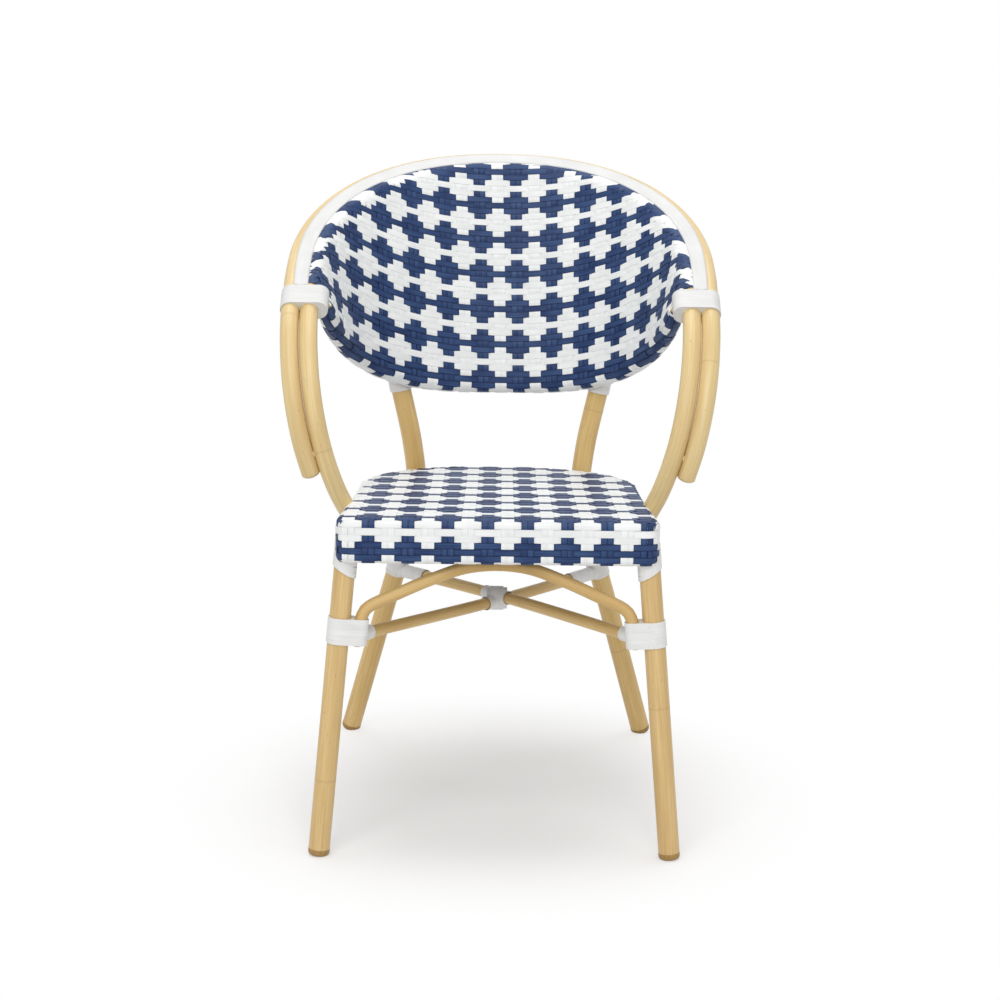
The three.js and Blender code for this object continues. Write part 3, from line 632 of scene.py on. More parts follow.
print("chair: foot caps")
for sign, side in sideNames.items():
    footCap(f"front_foot_cap_{side}", onSide(sign, frontFoot), onSide(sign, frontLegTop))
    footCap(f"rear_foot_cap_{side}", onSide(sign, rearFoot), onSide(sign, rearKnee))


strip = {
    "thickness": 1.0, "wave": 0.62, "pairSharpness": 1.5, "rowSharpness": 2.2,
    "lineRange": 5000, "toneRange": 40,
    # Round a strip, in halves of its width and thickness; its shoulders are sharp
    "section": ((1, 0), (0.95, 0.8), (0, 1), (-0.95, 0.8), (-1, 0), (-0.95, -0.8), (0, -1),
                (0.95, -0.8), (1, 0)),
    "shoulders": (1, 3, 5, 7),
}
stripSection = np.array(strip["section"])


def halved(width, count):
    return np.broadcast_to(np.asarray(width, float) / 2, count)[:, None]


def addStripSkin(bm, points, line, width, cyclic):
    # The place on a strip is across it, along it, and a number of its own
    places = np.empty(points.shape)
    places[..., 0] = stripSection[:, 0] * halved(width, len(points)) * metre
    along = pathLengths(line) + randomDraws.uniform(0, strip["lineRange"])
    places[..., 1] = along[:, None] * metre
    places[..., 2] = randomDraws.uniform(0, strip["toneRange"])
    addSkin(bm, points, places, cyclic=cyclic, creases=strip["shoulders"])


def addStrip(bm, centres, normals, width, thickness=strip["thickness"], cyclic=False, shape=None):
    # A flat strip along a path that lies on a surface; its width may change along it
    tangents = tangentsOf(centres, cyclic)
    if cyclic:
        centres, normals, tangents = (np.vstack([rows, rows[:1]])
                                      for rows in (centres, normals, tangents))
    sides = unit(np.cross(normals, tangents))
    faces = np.cross(tangents, sides) * thickness / 2
    sides *= halved(width, len(centres))
    points = centres[:, None] + stripSection[:, :1] * sides[:, None]
    points += stripSection[:, 1:] * faces[:, None]
    addStripSkin(bm, shape(points) if shape else points, centres, width, cyclic)


def addSurfaceStrip(bm, surfaceAt, lift, width, cyclic=False, shape=None):
    # A strip bent to its surface, which gives points and normals for each place across the strip
    columns = []
    for across, up in stripSection:
        base, normal = surfaceAt(across)
        columns.append(base + normal * (lift + up * strip["thickness"] / 2)[:, None])
    points = np.stack(columns, axis=1)
    if shape:
        points = shape(points)
    if cyclic:
        points = np.concatenate([points, points[:1]])
    addStripSkin(bm, points, points[:, 2], width, cyclic)


def acrossGap(centres, others):
    # Distance to a neighbouring path, square to this one
    tangents = tangentsOf(centres)
    step = others - centres
    return np.linalg.norm(step - tangents * np.sum(step * tangents, axis=1, keepdims=True), axis=1)


def overUnder(x, sharpness):
    # Over at whole even numbers and under at odd ones, times the height of the strips' wave
    return strip["wave"] * np.tanh(sharpness * np.cos(math.pi * x)) / math.tanh(sharpness)


def isBlueRow(row):
    return (row + 1) % 6 < 3


def weavePiece(node, *parts):
    # Strips go into one of two meshes: even columns are white and odd ones blue
    meshes = (startMesh(), startMesh())
    for part in parts:
        part(meshes)
    finishPiece(meshes[1], node + "_blue_strips", strips["navyStrip"], "weave", node)
    finishPiece(meshes[0], node + "_white_strips", strips["whiteStrip"], "weave", node)


back = {
    # Columns are counted from the middle, and placed in mm from it along the rail and the hoop
    "columnNumber": [0, 1, 3, 5, 7, 9, 11, 13, 14, 14.6],
    "columnOnRail": [0, 25.5, 76, 126, 185, 255, 320, 361, 383, 394],
    "columnOnHoop": [0, 28, 84, 138, 193, 255, 325, 387, 432, 458],
    "lastColumn": 14, "rowRange": (-9, 44), "rowStep": 0.32, "columnStep": 1 / 6,
    "pairHalf": 4.05, "pairHalfShare": 0.245, "stripWidth": 8.4, "stripShare": 0.49,
    "rowWidth": 10.5, "rowFill": 1.05,
    # How far the weave goes round its poles, and how its strips dive in behind the hoop
    "wrap": math.radians(285), "wrapAtLeg": math.radians(120), "legClearance": 22,
    "poleGap": 2.1, "tuck": math.radians(35),
    "dive": -1.4, "diveLead": 6, "diveLength": 8, "diveCalm": 0.7,
    "gridColumns": 333, "gridHeights": (-62, 352, 208),
    # How far columns drift sideways and how high rows lie: polynomials of column / 10 and row / 36
    "bendColumn": 12.5,
    "drift": [0.0607, -0.3218, -0.0031, 0.3982, -1.1981, 0.4442, 0.2361, -0.1461, -0.1807, 0.2046],
    "rise": [5.1775, 307.2533, -10.4368, -1.1814, -0.8022, 17.8362, 67.3674, -47.8603, -54.6093,
             -9.1535, 19.7443],
}
railTotal, hoopTotal = pathLengths(lowerRail)[-1], pathLengths(innerHoop)[-1]
railTangents, hoopTangents = tangentsOf(lowerRail), tangentsOf(innerHoop)
lastPlace = back["columnNumber"][-1]
columnGrid = np.linspace(-lastPlace, lastPlace, back["gridColumns"])
heightGrid = np.linspace(*back["gridHeights"])


def arcRound(centre, radius, face, across, angles):
    turn = angles[:, None]
    return centre + radius * (face * np.cos(turn) + across * np.sin(turn))


def sectionOf(column):
    # The middle of the weave's thickness: round the rail, straight up, over the inner hoop
    f = back
    railFromMiddle, hoopFromMiddle = (
        np.interp(abs(column), f["columnNumber"], f[places]) * np.sign(column)
        for places in ("columnOnRail", "columnOnHoop"))
    i = (0.5 + railFromMiddle / railTotal) * (len(lowerRail) - 1)
    j = (0.5 + hoopFromMiddle / hoopTotal) * (len(innerHoop) - 1)
    low, high = pointAt(lowerRail, i), pointAt(innerHoop, j)

    def axesRound(tangent):
        across = unit(high - low - tangent * np.dot(high - low, tangent))
        return np.cross(tangent, across), across

    thin = endShares(railTotal / 2 - abs(railFromMiddle), *rail["thinEnds"])
    lowRadius = rail["diameter"] / 2 * thin + f["poleGap"]
    byLeg = abs(abs(low[0]) - leg["railHalfSpread"]) < f["legClearance"]
    wrap = f["wrapAtLeg" if byLeg else "wrap"]
    axes = axesRound(railTangents[int(round(i))])
    lower = arcRound(low, lowRadius, *axes, np.linspace(-wrap, 0, 30))
    highRadius = hoop["diameter"] / 2 + f["poleGap"]
    face, across = axesRound(hoopTangents[int(round(j))])
    crest = math.atan2(np.dot(hoopNormal, across), np.dot(hoopNormal, face))
    upper = arcRound(high, highRadius, face, across, np.linspace(0, crest + f["tuck"], 18))
    line = np.vstack([lower, upper])
    lengths = pathLengths(line)
    lengths -= lengths[len(lower) - 1]
    return line, lengths, lengths[len(lower)] + highRadius * crest


def backSurface():
    # Points on a grid of columns and heights; the lowest, crest and top height of each column
    points = np.zeros((len(columnGrid), len(heightGrid), 3))
    edges = []
    for n, column in enumerate(columnGrid):
        line, lengths, crest = sectionOf(column)
        edges.append((lengths[0], crest, lengths[-1]))
        points[n] = np.stack([np.interp(heightGrid, lengths, line[:, k]) for k in range(3)], 1)
        past = np.maximum(heightGrid - lengths[-1], 0)
        points[n] += unit(line[-1] - line[-2]) * past[:, None]
    return points, np.array(edges).T


backPoints, backEdges = backSurface()
backNormals = unit(np.cross(np.gradient(backPoints, axis=1), np.gradient(backPoints, axis=0)))
# Normals point to the front, as in the middle of the panel
backNormals *= -np.sign(backNormals[len(columnGrid) // 2, 60, 1])


def onBack(columns, heights, field):
    i, j = (np.minimum(np.interp(values, grid, np.arange(len(grid))), len(grid) - 1.001)
            for values, grid in ((columns, columnGrid), (heights, heightGrid)))
    i0, j0 = i.astype(int), j.astype(int)
    fi, fj = (i - i0)[:, None], (j - j0)[:, None]
    low = field[i0, j0] * (1 - fi) + field[i0 + 1, j0] * fi
    high = field[i0, j0 + 1] * (1 - fi) + field[i0 + 1, j0 + 1] * fi
    return low * (1 - fj) + high * fj


def weavePlace(column, row):
    # Where a column and a row of the pattern cross: a column of the surface and a height on it
    f = back
    u, q = np.clip(column, -f["bendColumn"], f["bendColumn"]) / 10, row / 36
    driftTerms = [1, q, q ** 2, u, u * q, u * q ** 2, u ** 3, u ** 3 * q, u ** 2, u ** 2 * q]
    riseTerms = [1, q, q ** 2, u, u * q, u ** 2, u ** 2 * q, u ** 2 * q ** 2, u ** 4, u ** 4 * q,
                 u ** 6]
    drift, height = (sum(share * term for share, term in zip(f[name], terms))
                     for name, terms in (("drift", driftTerms), ("rise", riseTerms)))
    return column + drift, height


def backLine(column, row):
    # A run of crossings: points, normals, which are on the weave, and which dive behind the hoop
    columns, heights = weavePlace(column, row)
    points, normals = (onBack(columns, heights, field) for field in (backPoints, backNormals))
    low, crest, top = (np.interp(columns, columnGrid, edge) for edge in backEdges)
    inside = (heights > low) & (heights < top) & (np.abs(columns) < lastPlace)
    diving = np.clip((heights - crest + back["diveLead"]) / back["diveLength"], 0, 1)
    return points, unit(normals), inside, eased(diving)


def divingLift(wave, diving):
    return wave * (1 - back["diveCalm"] * diving) + back["dive"] * diving


def runsInside(inside):
    runs = np.split(np.arange(len(inside)), np.where(np.diff(inside.astype(int)))[0] + 1)
    return [run for run in runs if inside[run[0]] and len(run) > 4]


def backUprights(meshes):
    # Upright strips, in pairs
    f = back
    rows = np.arange(*f["rowRange"], f["rowStep"])
    for column in range(-f["lastColumn"], f["lastColumn"] + 1):
        step = acrossGap(backLine(column - 0.5, rows)[0], backLine(column + 0.5, rows)[0])
        for side in (-1, 1):
            offset = side * np.minimum(f["pairHalf"] / step, f["pairHalfShare"])
            points, normals, inside, diving = backLine(column + offset, rows)
            for run in runsInside(inside):
                wave = -overUnder(column + rows[run], strip["pairSharpness"])
                centres = points[run] + normals[run] * divingLift(wave, diving[run])[:, None]
                widths = np.minimum(f["stripWidth"], step[run] * f["stripShare"])
                addStrip(meshes[column % 2], centres, normals[run], widths)


def backRows(meshes):
    # Rows, each a single strip
    f = back
    columns = np.arange(-lastPlace, lastPlace, f["columnStep"])
    for row in range(*f["rowRange"]):
        inside, diving = backLine(columns, np.full(len(columns), float(row)))[2:]
        before, after = (backLine(columns, np.full(len(columns), row + d))[0] for d in (-0.5, 0.5))
        gaps = np.maximum(acrossGap(before, after), 1)
        widths = np.minimum(gaps, f["rowWidth"]) * f["rowFill"]
        halfRows = widths / gaps / 2
        for run in runsInside(inside):
            wave = overUnder(columns[run] + row, strip["rowSharpness"])
            addSurfaceStrip(
                meshes[isBlueRow(row)],
                lambda across: backLine(columns[run], row + across * halfRows[run])[:2],
                divingLift(wave, diving[run]), widths[run])


print("chair: woven back")
weavePiece("back_weave", backUprights, backRows)


weave = {
    "pairPitch": 25.4, "pairHalf": 4.05, "stripWidth": 8.3, "frontPairs": 8, "taper": 0.05,
    # Rows are counted from the front edge, and placed in mm up the skirt and over the top
    "rowNumbers": [-5, -2, 0, 3, 6, 12, 50], "rowLengths": [-78, -56.5, -39.5, -14, 16, 75, 434],
    "ringRows": range(-5, 5), "topRows": range(5, 50), "rowFill": 1.03, "rowWidth": 10.2,
    "inset": 1.5, "outlinePoints": 1600, "stripStart": -76, "ringGap": 2.8, "crossGap": 1 / 6,
    # Where strips end, they lie deeper: over this length, by this much
    "tuckDepth": 7, "leastTurn": 0.35, "topEnd": (14, 1.3), "skirtEnd": (12, 1.1),
    "rowEndLead": 6, "rowEndFade": 18, "rowEndLift": 0.2, "rowEndDrop": (12, 1.5),
    # Round the sides and the back the top rings lie over the strips' ends
    "coveringRing": 3, "coverLift": 0.5, "coverLength": 30,
}
edgeRadius = seat["edgeRadius"] - weave["inset"]
wallHeight = seat["height"] - 2 * seat["edgeRadius"]
bend = edgeRadius * math.pi / 2
topStart = bend / 2  # length along the weave where the flat top begins
flatZ = -weave["inset"]


def seatOutline():
    # The whole outline from the middle of the front, to the right and round, evenly spaced
    f, inset = seat, weave["inset"]
    corner = f["cornerRadius"] - inset
    turn = np.linspace(-math.pi / 2, 0, 12)
    cornerLine = np.stack([f["frontHalfWidth"] - inset - corner + corner * np.cos(turn),
                           inset + corner + corner * np.sin(turn)], axis=1)
    right = np.vstack([[[0, inset]], cornerLine, seatRear(inset, 60)])
    loop = np.pad(np.vstack([right, right[-2:0:-1] * [-1, 1], right[:1]]), ((0, 0), (0, 1)))
    total = pathLengths(loop)[-1]
    return atLengths(loop, np.linspace(0, total, weave["outlinePoints"] + 1))[:-1], total


outline, outlineTotal = seatOutline()
outlineNormals = np.cross(tangentsOf(outline, cyclic=True), upwards)
# Beside the front pairs, further pairs stand round the skirt, an odd number of steps apart
skirtStart = (weave["frontPairs"] - 0.5) * weave["pairPitch"]
skirtSteps = int(round((outlineTotal - 2 * skirtStart) / weave["pairPitch"]))
skirtSteps += (skirtSteps + 1) % 2
skirtPitch = (outlineTotal - 2 * skirtStart) / skirtSteps


def outlineAt(place, field):
    # A value of the outline at a length along it, which may run past its start
    i = np.mod(np.asarray(place, float), outlineTotal) / outlineTotal * len(outline)
    i0 = np.floor(i).astype(int) % len(outline)
    f = (i - np.floor(i))[..., None]
    return field[i0] * (1 - f) + field[(i0 + 1) % len(outline)] * f


def onSkirt(place, depth):
    # A point of the skirt and its outward direction; depth 0 is the middle of the top edge's bend
    base, out = outlineAt(place, outline), unit(outlineAt(place, outlineNormals))
    s = np.zeros(np.shape(place)) + depth + bend / 2
    turn = np.clip(s / edgeRadius, 0, math.pi / 2)
    down = np.clip(s - bend, 0, wallHeight)
    lower = np.clip((s - bend - wallHeight) / edgeRadius, 0, math.pi / 2)
    flat = np.maximum(s - 2 * bend - wallHeight, 0) - np.minimum(s, 0)
    inward = edgeRadius * (2 - np.sin(turn) - np.cos(lower)) + flat
    points = base - out * inward[..., None]
    points[..., 2] = flatZ - edgeRadius * (1 - np.cos(turn) + np.sin(lower)) - down
    level, upward = np.sin(turn) * np.cos(lower), np.cos(turn) - np.sin(lower)
    return points, unit(out * level[..., None] + upwards * upward[..., None])


def overFrontEdge(points):
    # Bends what reaches past the flat of the top down over the front edge
    past = seat["edgeRadius"] - points[..., 1]
    height = points[..., 2] - flatZ
    bends = (past > 0) & (height > -2)
    turn, reach = np.maximum(past, 0) / edgeRadius, edgeRadius + height
    bent = points.copy()
    bent[..., 1] = np.where(bends, seat["edgeRadius"] - reach * np.sin(turn), points[..., 1])
    bent[..., 2] = np.where(bends, reach * np.cos(turn) - edgeRadius + flatZ, points[..., 2])
    return toChair(bent)


def rowPlace(row):
    return float(np.interp(row, weave["rowNumbers"], weave["rowLengths"]))


def rowNumber(length):
    return np.interp(length, weave["rowLengths"], weave["rowNumbers"])


def rowWidth(row):
    return min((rowPlace(row + 0.5) - rowPlace(row - 0.5)) * weave["rowFill"], weave["rowWidth"])


def taperAt(y):
    return 1 - weave["taper"] * np.clip(y / seat["sideLength"], 0, 1)


def crossings(axis, value):
    # Where the outline crosses a line of constant x (axis 0) or y (axis 1), sorted along the line
    here, there = outline[:, axis] - value, np.roll(outline[:, axis], -1) - value
    hits = np.where((here <= 0) != (there <= 0))[0]
    places = [(i + here[i] / (here[i] - there[i])) / len(outline) * outlineTotal for i in hits]
    return sorted(places, key=lambda place: outlineAt(place, outline)[1 - axis])


def onTop(x, y):
    return np.stack(np.broadcast_arrays(x, y, flatZ), axis=-1)


def bentEnd(x, y, heading, place):
    # The end of a top strip: over the edge and down the skirt, square to the outline
    out = unit(outlineAt(place, outlineNormals))
    reach = edgeRadius / max(np.dot(heading, out), weave["leastTurn"])
    turn = np.linspace(0, math.pi / 2, 8)[:, None]
    over = onTop(x, y) - heading * reach * (1 - np.sin(turn))
    over -= upwards * edgeRadius * (1 - np.cos(turn))
    down = over[-1] - upwards * np.linspace(2, weave["tuckDepth"], 4)[:, None]
    normals = unit(out * np.sin(turn) + upwards * np.cos(turn))
    return np.vstack([over, down]), np.vstack([normals, np.tile(out, (4, 1))])


def addPairStrip(meshes, number, centres, normals, lengths, fromEnd, ending):
    # One strip of an upright or lengthwise pair; it waves against the rows
    fade = np.clip(fromEnd / ending[0], 0, 1)
    wave = -overUnder(number + rowNumber(lengths), strip["pairSharpness"])
    lift = wave * fade - ending[1] * (1 - fade)
    addStrip(meshes[number % 2], toChair(centres + normals * lift[:, None]), turnToChair(normals),
             weave["stripWidth"])


def seatLengthwise(meshes):
    # Front to back strips, in pairs: from the lip up the front, over the top and the rear edge
    f = weave
    skirtLengths = np.arange(f["stripStart"], -topStart, f["ringGap"])
    for number in range(-f["frontPairs"], f["frontPairs"]):
        for side in (-1, 1):
            x = (number + 0.5) * f["pairPitch"] + side * f["pairHalf"]
            frontPlaces = np.full(len(skirtLengths), crossings(0, x)[0])
            skirt, skirtNormals = onSkirt(frontPlaces, -skirtLengths)
            rearX = x * (1 - f["taper"])
            rearPlace = crossings(0, rearX)[-1]
            rearY = outlineAt(rearPlace, outline)[1]
            bent, bentNormals = bentEnd(rearX, rearY, backwards, rearPlace)
            ys = np.arange(skirt[-1, 1] + f["ringGap"], bent[0, 1] - 1, f["ringGap"])
            centres = np.vstack([skirt, onTop(x * taperAt(ys), ys), bent])
            normals = np.vstack([skirtNormals, np.tile(upwards, (len(ys), 1)), bentNormals])
            fromEdge = np.append(ys, bent[0, 1] + pathLengths(bent)) - seat["edgeRadius"]
            lengths = np.concatenate([skirtLengths, topStart + fromEdge])
            fromEnd = pathLengths(centres)[-1] - pathLengths(centres)
            addPairStrip(meshes, number, centres, normals, lengths, fromEnd, f["topEnd"])


def seatCrosswise(meshes):
    # Side to side strips of the top
    f = weave
    for row in f["topRows"]:
        y = rowPlace(row) - topStart + seat["edgeRadius"]
        taper = float(taperAt(y))
        places = crossings(1, y)
        (leftLine, leftNormals), (rightLine, rightNormals) = (
            bentEnd(outlineAt(place, outline)[0], y, heading, place)
            for place, heading in ((places[0], -rightwards), (places[-1], rightwards)))
        start, end = leftLine[0, 0] + 1, rightLine[0, 0] - 1
        step = f["pairPitch"] * f["crossGap"]
        xs = np.arange(math.ceil(start / step), math.floor(end / step) + 1) * step * taper
        xs = xs[(xs > start) & (xs < end)]
        centres = np.vstack([leftLine[::-1], onTop(xs, y), rightLine])
        normals = np.vstack([leftNormals[::-1], np.tile(upwards, (len(xs), 1)), rightNormals])
        wave = overUnder(centres[:, 0] / taper / f["pairPitch"] - 0.5 + row, strip["rowSharpness"])
        fromEnd = np.minimum(pathLengths(centres), pathLengths(centres)[-1] - pathLengths(centres))
        fade = np.clip((fromEnd - f["rowEndLead"]) / f["rowEndFade"], 0, 1)
        length, drop = f["rowEndDrop"]
        ending = f["rowEndLift"] - drop * (1 - np.clip(fromEnd / length, 0, 1))
        lift = wave * fade + ending * (1 - fade)
        addStrip(meshes[isBlueRow(row)], centres + normals * lift[:, None], normals, rowWidth(row),
                 shape=overFrontEdge)


def skirtUprights(meshes):
    # Upright strips of the skirt, in pairs, at the sides and the back
    f = weave
    lengths = np.arange(f["stripStart"], -1.0, f["ringGap"])
    for k in range(1, skirtSteps):
        for side in (-1, 1):
            place = skirtStart + k * skirtPitch + side * f["pairHalf"]
            points, normals = onSkirt(np.full(len(lengths), place), -lengths)
            addPairStrip(meshes, f["frontPairs"] - 1 + k, points, normals, lengths,
                         lengths[-1] - lengths, f["skirtEnd"])


def skirtRings(meshes):
    # Rings round the skirt and its lip
    f = weave
    pairs = f["frontPairs"] - 0.5
    frontShare = np.arange(-pairs, pairs + 0.01, f["crossGap"])
    restShare = np.arange(1, skirtSteps * 6) / 6
    places = np.concatenate([frontShare * f["pairPitch"], skirtStart + restShare * skirtPitch])
    numbers = np.concatenate([frontShare - 0.5, f["frontPairs"] - 1 + restShare])
    for row in f["ringRows"]:
        lift = overUnder(numbers + row, strip["rowSharpness"])
        if row >= f["coveringRing"]:
            fromFront = np.minimum(places, outlineTotal - places) - skirtStart
            lift = lift + f["coverLift"] * np.clip(fromFront / f["coverLength"], 0, 1)
        addSurfaceStrip(
            meshes[isBlueRow(row)],
            lambda across: onSkirt(places, -rowPlace(row) - across * rowWidth(row) / 2),
            lift, rowWidth(row), cyclic=True, shape=toChair)


print("chair: woven seat")
weavePiece("seat_weave", seatLengthwise, seatCrosswise, skirtUprights, skirtRings)


binding = {
    "thickness": 1.8, "letIn": 0.65, "stripWidth": 6.4, "stripThickness": 0.8, "overlap": 1.12,
    "unevenRise": 0.1, "unevenLift": 0.07, "waver": 0.2, "coreInset": 0.2,
    "armLead": 10, "armLength": 38, "armShort": 11,
    "legTopLength": 34, "legTopReach": 4, "legTopSlants": np.radians([30, 6]),
    "legLowHeight": 304, "legLowLength": 34, "braceFrontLength": 62, "braceRearLength": 73,
    "crossLength": 50, "lashes": ((10.6, 27), (12.2, 17)),
    "rearLegHeight": 287, "rearLegLength": 50,
    "uprightLift": 18, "uprightLength": 50, "uprightTopLength": 40,
    "rimHalfWidth": 9.8, "rimShift": 0.4, "rimSpread": 3.0, "rimGap": 0.6, "rimDip": 1.4,
    "rimEdge": 0.5, "rimThickness": 2.4,
}


def wrapRadius(diameter):
    return diameter / 2 + binding["thickness"] - binding["letIn"]


def circleOutline(radius):
    outs = wheelOf(36)[:-1]
    return outs * radius, outs


def pairOutline(firstRadius, distance, lastRadius):
    # A tight loop round two circles: points, and their directions outwards
    lean = math.acos((firstRadius - lastRadius) / distance)
    angles = np.concatenate([np.linspace(lean, 2 * math.pi - lean, 16), np.full(3, -lean),
                             np.linspace(-lean, lean, 14), np.full(3, lean)])
    steps = np.array([0.25, 0.5, 0.75])
    share = np.concatenate([np.zeros(16), steps, np.ones(14), steps[::-1]])[:, None]
    outs = np.stack([np.cos(angles), np.sin(angles)], axis=1)
    return outs * (firstRadius * (1 - share) + lastRadius * share) + share * [distance, 0], outs


def bindingAxes(axis, towards):
    along = unit(axis)
    first = unit(towards - along * np.dot(towards, along))
    return np.array([first, np.cross(along, first), along])


def addWraps(bm, outline2, centre, axes, length, slants=(0, 0)):
    # Turns of strip side by side round an outline; their slant can change along the axis
    f = binding
    flat, outs = (rows @ axes[:2] for rows in outline2)
    turns = int(round(length / f["stripWidth"]))
    around = np.linspace(0, 2 * math.pi, len(flat), endpoint=False)
    for turn in range(turns):
        share = (turn + 0.5) / turns
        rise = (share - 0.5) * length + randomDraws.uniform(-f["unevenRise"], f["unevenRise"])
        tilt = math.tan(slants[0] + (slants[1] - slants[0]) * share) * (flat @ axes[0])
        rises = rise + tilt + f["waver"] * np.sin(around + turn)
        lift = f["letIn"] - f["stripThickness"] / 2
        lift += randomDraws.uniform(-f["unevenLift"], f["unevenLift"])
        addStrip(bm, centre + flat + axes[2] * rises[:, None] + outs * lift, outs,
                 length / turns * f["overlap"], thickness=f["stripThickness"], cyclic=True)


def wrapPair(bm, radii, distance, centre, axes, length, coreInset=binding["coreInset"]):
    # Turns round two poles, and the filled middle that is seen only between them
    first, last = radii
    addWraps(bm, pairOutline(first, distance, last), centre, axes, length)
    flat = pairOutline(first - coreInset, distance, last - coreInset)[0] @ axes[:2]
    flat = np.vstack([flat, flat[:1]])
    ends = np.linspace(1 - length, length - 1, 3) / 2
    points = np.array([centre + flat + axes[2] * rise for rise in ends])
    addSkin(bm, points, points * metre)


def poleAt(path, share):
    number = share * (len(path) - 1)
    return pointAt(path, number), tangentsOf(path)[int(round(number))]


def wrapPole(bm, path, share, length, diameter):
    centre, axis = poleAt(path, share)
    axes = bindingAxes(axis, rightwards)
    addWraps(bm, circleOutline(wrapRadius(diameter)), centre, axes, length)


def rimBand(bm):
    # The band over the groove between the hoops, dipping a little along its middle
    f = binding
    limit = hoopPlanePoint(0, hoop["depth"] + hoop["straight"] - f["armLead"])[1]
    path = middleHoop[middleHoop[:, 1] >= limit]
    path = atLengths(path, np.linspace(0, pathLengths(path)[-1], 220))
    outward = unit(np.cross(hoopNormal, tangentsOf(path)))
    shares = np.linspace(-1, 1, 9)
    across = shares * f["rimHalfWidth"] + f["rimShift"]
    under = hoop["diameter"] / 2 + f["rimGap"] - f["rimDip"] * (1 - shares ** 2)
    over = under + f["rimEdge"] + (f["rimThickness"] - f["rimEdge"]) * (1 - np.abs(shares) ** 8)
    across, height = (np.concatenate([low, high[::-1], low[:1]])
                      for low, high in ((across, across), (under, over)))
    # Towards the top of the back it also covers the crest of the outer hoop
    spread = f["rimSpread"] * (1 - np.abs(np.linspace(-1, 1, len(path))) ** 3)
    across = across + spread[:, None] * np.maximum(across / f["rimHalfWidth"], 0)
    points = path[:, None] + outward[:, None] * across[..., None] + hoopNormal * height[:, None]
    places = np.full(points.shape, 3.0)
    places[..., 0] = across * metre
    places[..., 1] = pathLengths(path)[:, None] * metre
    addSkin(bm, points, places)


def armBinding(bm, sign):
    f = binding
    radius = wrapRadius(hoop["diameter"])
    width = hoop["halfWidth"] + pairOffset - rail["halfWidth"] - f["armShort"]
    turn = (f["armLength"] / 2 - f["armLead"]) / hoop["bendRadius"]
    before, centre, after = (onSide(-sign, armPoint(at, pairOffset, *hoop["outerArm"]))
                             for at in (0, turn, 2 * turn))
    axes = bindingAxes(after - before, -sign * rightwards)
    wrapPair(bm, (radius, radius), width, centre, axes, f["armLength"])


def legLowBinding(bm, sign):
    radii = [wrapRadius(diameter) for diameter in (leg["diameter"], stretcher["archDiameter"])]
    centre = legPointAt(frontFoot, frontLegTop, binding["legLowHeight"], sign)
    axes = bindingAxes(onSide(sign, frontLegTop - frontFoot), -sign * rightwards)
    width = abs(centre[0]) - stretcher["archHalfSpan"]
    wrapPair(bm, radii, width, centre, axes, binding["legLowLength"])


def legTopBinding(bm, sign):
    f = binding
    height = frontLegTop[2] - f["legTopLength"] / 2 + f["legTopReach"]
    centre = legPointAt(frontFoot, frontLegTop, height, sign)
    axes = bindingAxes(onSide(sign, frontLegTop - frontFoot), rightwards)
    addWraps(bm, circleOutline(wrapRadius(leg["diameter"])), centre, axes,
             f["legTopLength"] + f["legTopReach"], sign * f["legTopSlants"])


def crossBinding(bm):
    for path in braces.values():
        share = path[0, 0] / (path[0, 0] - path[-1, 0])
        wrapPole(bm, path, share, binding["crossLength"], braceThickness)
    # Lashings over both braces, from the lower one's middle
    for radius, length in binding["lashes"]:
        wrapPair(bm, (radius, radius), stretcher["braceCrossOffset"], poleAt(path, share)[0],
                 bindingAxes(rightwards, upwards), length, coreInset=0)


def bindingPiece(name, build, *values, look="whiteWrap"):
    bm = startMesh()
    build(bm, *values)
    finishPiece(bm, "wrap_" + name, strips[look], "binding", name)


def poleBindings(sign):
    # Round single poles: the name, the path and where on it, the length and the pole's diameter
    f, path, thick = binding, rearLeg[sign], leg["diameter"]
    braceTotal, legTotal = pathLengths(braces[sign])[-1], pathLengths(path)[-1]

    def atHeight(height):
        return np.interp(height, path[:, 2], np.linspace(0, 1, len(path)))

    front, rear = f["braceFrontLength"], f["braceRearLength"]
    topShare = 1 - (hoop["diameter"] + f["uprightTopLength"] / 2) / legTotal
    return (("brace_binding_front", braces[sign], front / 2 / braceTotal, front, braceThickness),
            ("brace_binding_rear", braces[-sign], 1 - rear / 2 / braceTotal, rear, braceThickness),
            ("rear_leg_binding", path, atHeight(f["rearLegHeight"]), f["rearLegLength"], thick),
            ("upright_binding", path, atHeight(rail["height"] + f["uprightLift"]),
             f["uprightLength"], thick),
            ("upright_top_binding", path, topShare, f["uprightTopLength"], thick))


print("chair: white bindings")
bindingPiece("rim_binding", rimBand, look="hoopWrap")
for sign, side in sideNames.items():
    bindingPiece("arm_binding_" + side, armBinding, sign, look="hoopWrap")
    bindingPiece("front_leg_binding_lower_" + side, legLowBinding, sign)
    bindingPiece("front_leg_binding_upper_" + side, legTopBinding, sign)
    for name, *values in poleBindings(sign):
        bindingPiece(f"{name}_{side}", wrapPole, *values)
bindingPiece("brace_center_binding", crossBinding)


studio = {
    "floorSize": 30, "floorTone": 0.82, "floorSeenTone": 1.0,
    "shadowFade": (0.15, 0.53), "shadowCentre": (0, -0.06, 0), "skyStrength": 0.56,
    # Power, size and place of each lamp, and where both point
    "overheadLamp": (27, 2.0, (0.1, 0.4, 3.1)), "frontLamp": (77, 3.0, (-0.5, -3.2, 3.2)),
    "lampAim": (0, 0, 0.45),
    "lens": 89.58, "sensorWidth": 36, "cameraPlace": (0.0024, -3.3403, 1.2142),
    "cameraPitch": math.radians(76.613), "cameraRoll": math.radians(0.68),
}


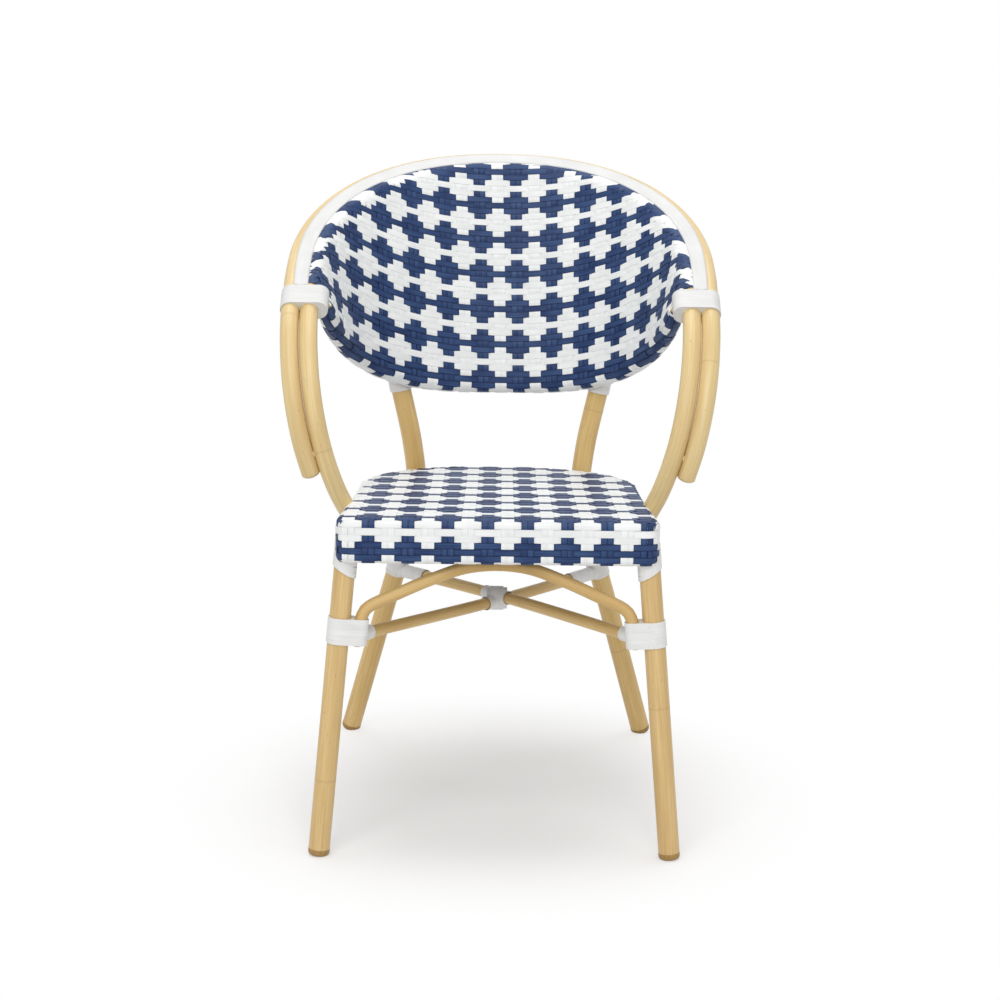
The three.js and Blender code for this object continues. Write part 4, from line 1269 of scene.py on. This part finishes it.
def backgroundRays(tree):
    # 1 for rays that show the background: from the camera, off gloss and through clear parts
    rays = addNode(tree, "LightPath").outputs
    glossy = addMath(tree, "MAXIMUM", rays["Is Camera Ray"], rays["Is Glossy Ray"])
    return addMath(tree, "MAXIMUM", glossy, rays["Is Transmission Ray"])


def addShaderMix(tree, factor, first, second):
    return addNode(tree, "MixShader", {0: factor, 1: first, 2: second}).outputs[0]


def addDiffuse(tree, level):
    return addNode(tree, "BsdfDiffuse", {"Color": grey(level)}).outputs[0]


def makeFloor():
    material, tree = newMaterial("paleFloor")
    tree.nodes.clear()
    # Away from the chair the floor is plain white to the camera
    place = addNode(tree, "TexCoord").outputs["Object"]
    ends = {0: place, 1: studio["shadowCentre"]}
    distance = addNode(tree, "VectorMath", ends, operation="DISTANCE").outputs["Value"]
    fade = addRange(tree, distance, *studio["shadowFade"], interpolation_type="SMOOTHSTEP")
    plain = addNode(tree, "Emission").outputs[0]
    seen = addShaderMix(tree, fade, addDiffuse(tree, studio["floorSeenTone"]), plain)
    surface = addShaderMix(tree, backgroundRays(tree), addDiffuse(tree, studio["floorTone"]), seen)
    addNode(tree, "OutputMaterial", {"Surface": surface})
    bm = bmesh.new()
    bmesh.ops.create_grid(bm, x_segments=1, y_segments=1, size=studio["floorSize"])
    meshObject(bm, "studio_floor", material)


def makeSky():
    world = bpy.data.worlds.new("studioSky")
    bpy.context.scene.world = world
    world.use_nodes = True
    tree = world.node_tree
    tree.nodes.clear()
    lighting, backdrop = (
        addNode(tree, "Background", {"Color": grey(1), "Strength": strength}).outputs[0]
        for strength in (studio["skyStrength"], 1))
    surface = addShaderMix(tree, backgroundRays(tree), lighting, backdrop)
    addNode(tree, "OutputWorld", {"Surface": surface})


def makeLamp(name):
    lamp = bpy.data.lights.new(name, "AREA")
    lamp.energy, lamp.size, place = studio[name]
    turn = (Vector(studio["lampAim"]) - Vector(place)).to_track_quat("-Z", "Y")
    linkObject(name, lamp).matrix_world = Matrix.Translation(place) @ turn.to_matrix().to_4x4()


def makeCamera():
    lens = bpy.data.cameras.new("photoCamera")
    lens.lens, lens.sensor_width = studio["lens"], studio["sensorWidth"]
    lens.sensor_fit = "HORIZONTAL"
    pitch, roll = (Matrix.Rotation(studio[turn], 4, axis)
                   for turn, axis in (("cameraPitch", "X"), ("cameraRoll", "Z")))
    camera = linkObject("photoCamera", lens)
    camera.matrix_world = Matrix.Translation(studio["cameraPlace"]) @ pitch @ roll
    bpy.context.scene.camera = camera


print("chair: floor, lights, camera")
makeFloor()
makeSky()
makeLamp("overheadLamp")
makeLamp("frontLamp")
makeCamera()
bpy.context.scene.view_settings.view_transform = "Standard"

print("chair: done")
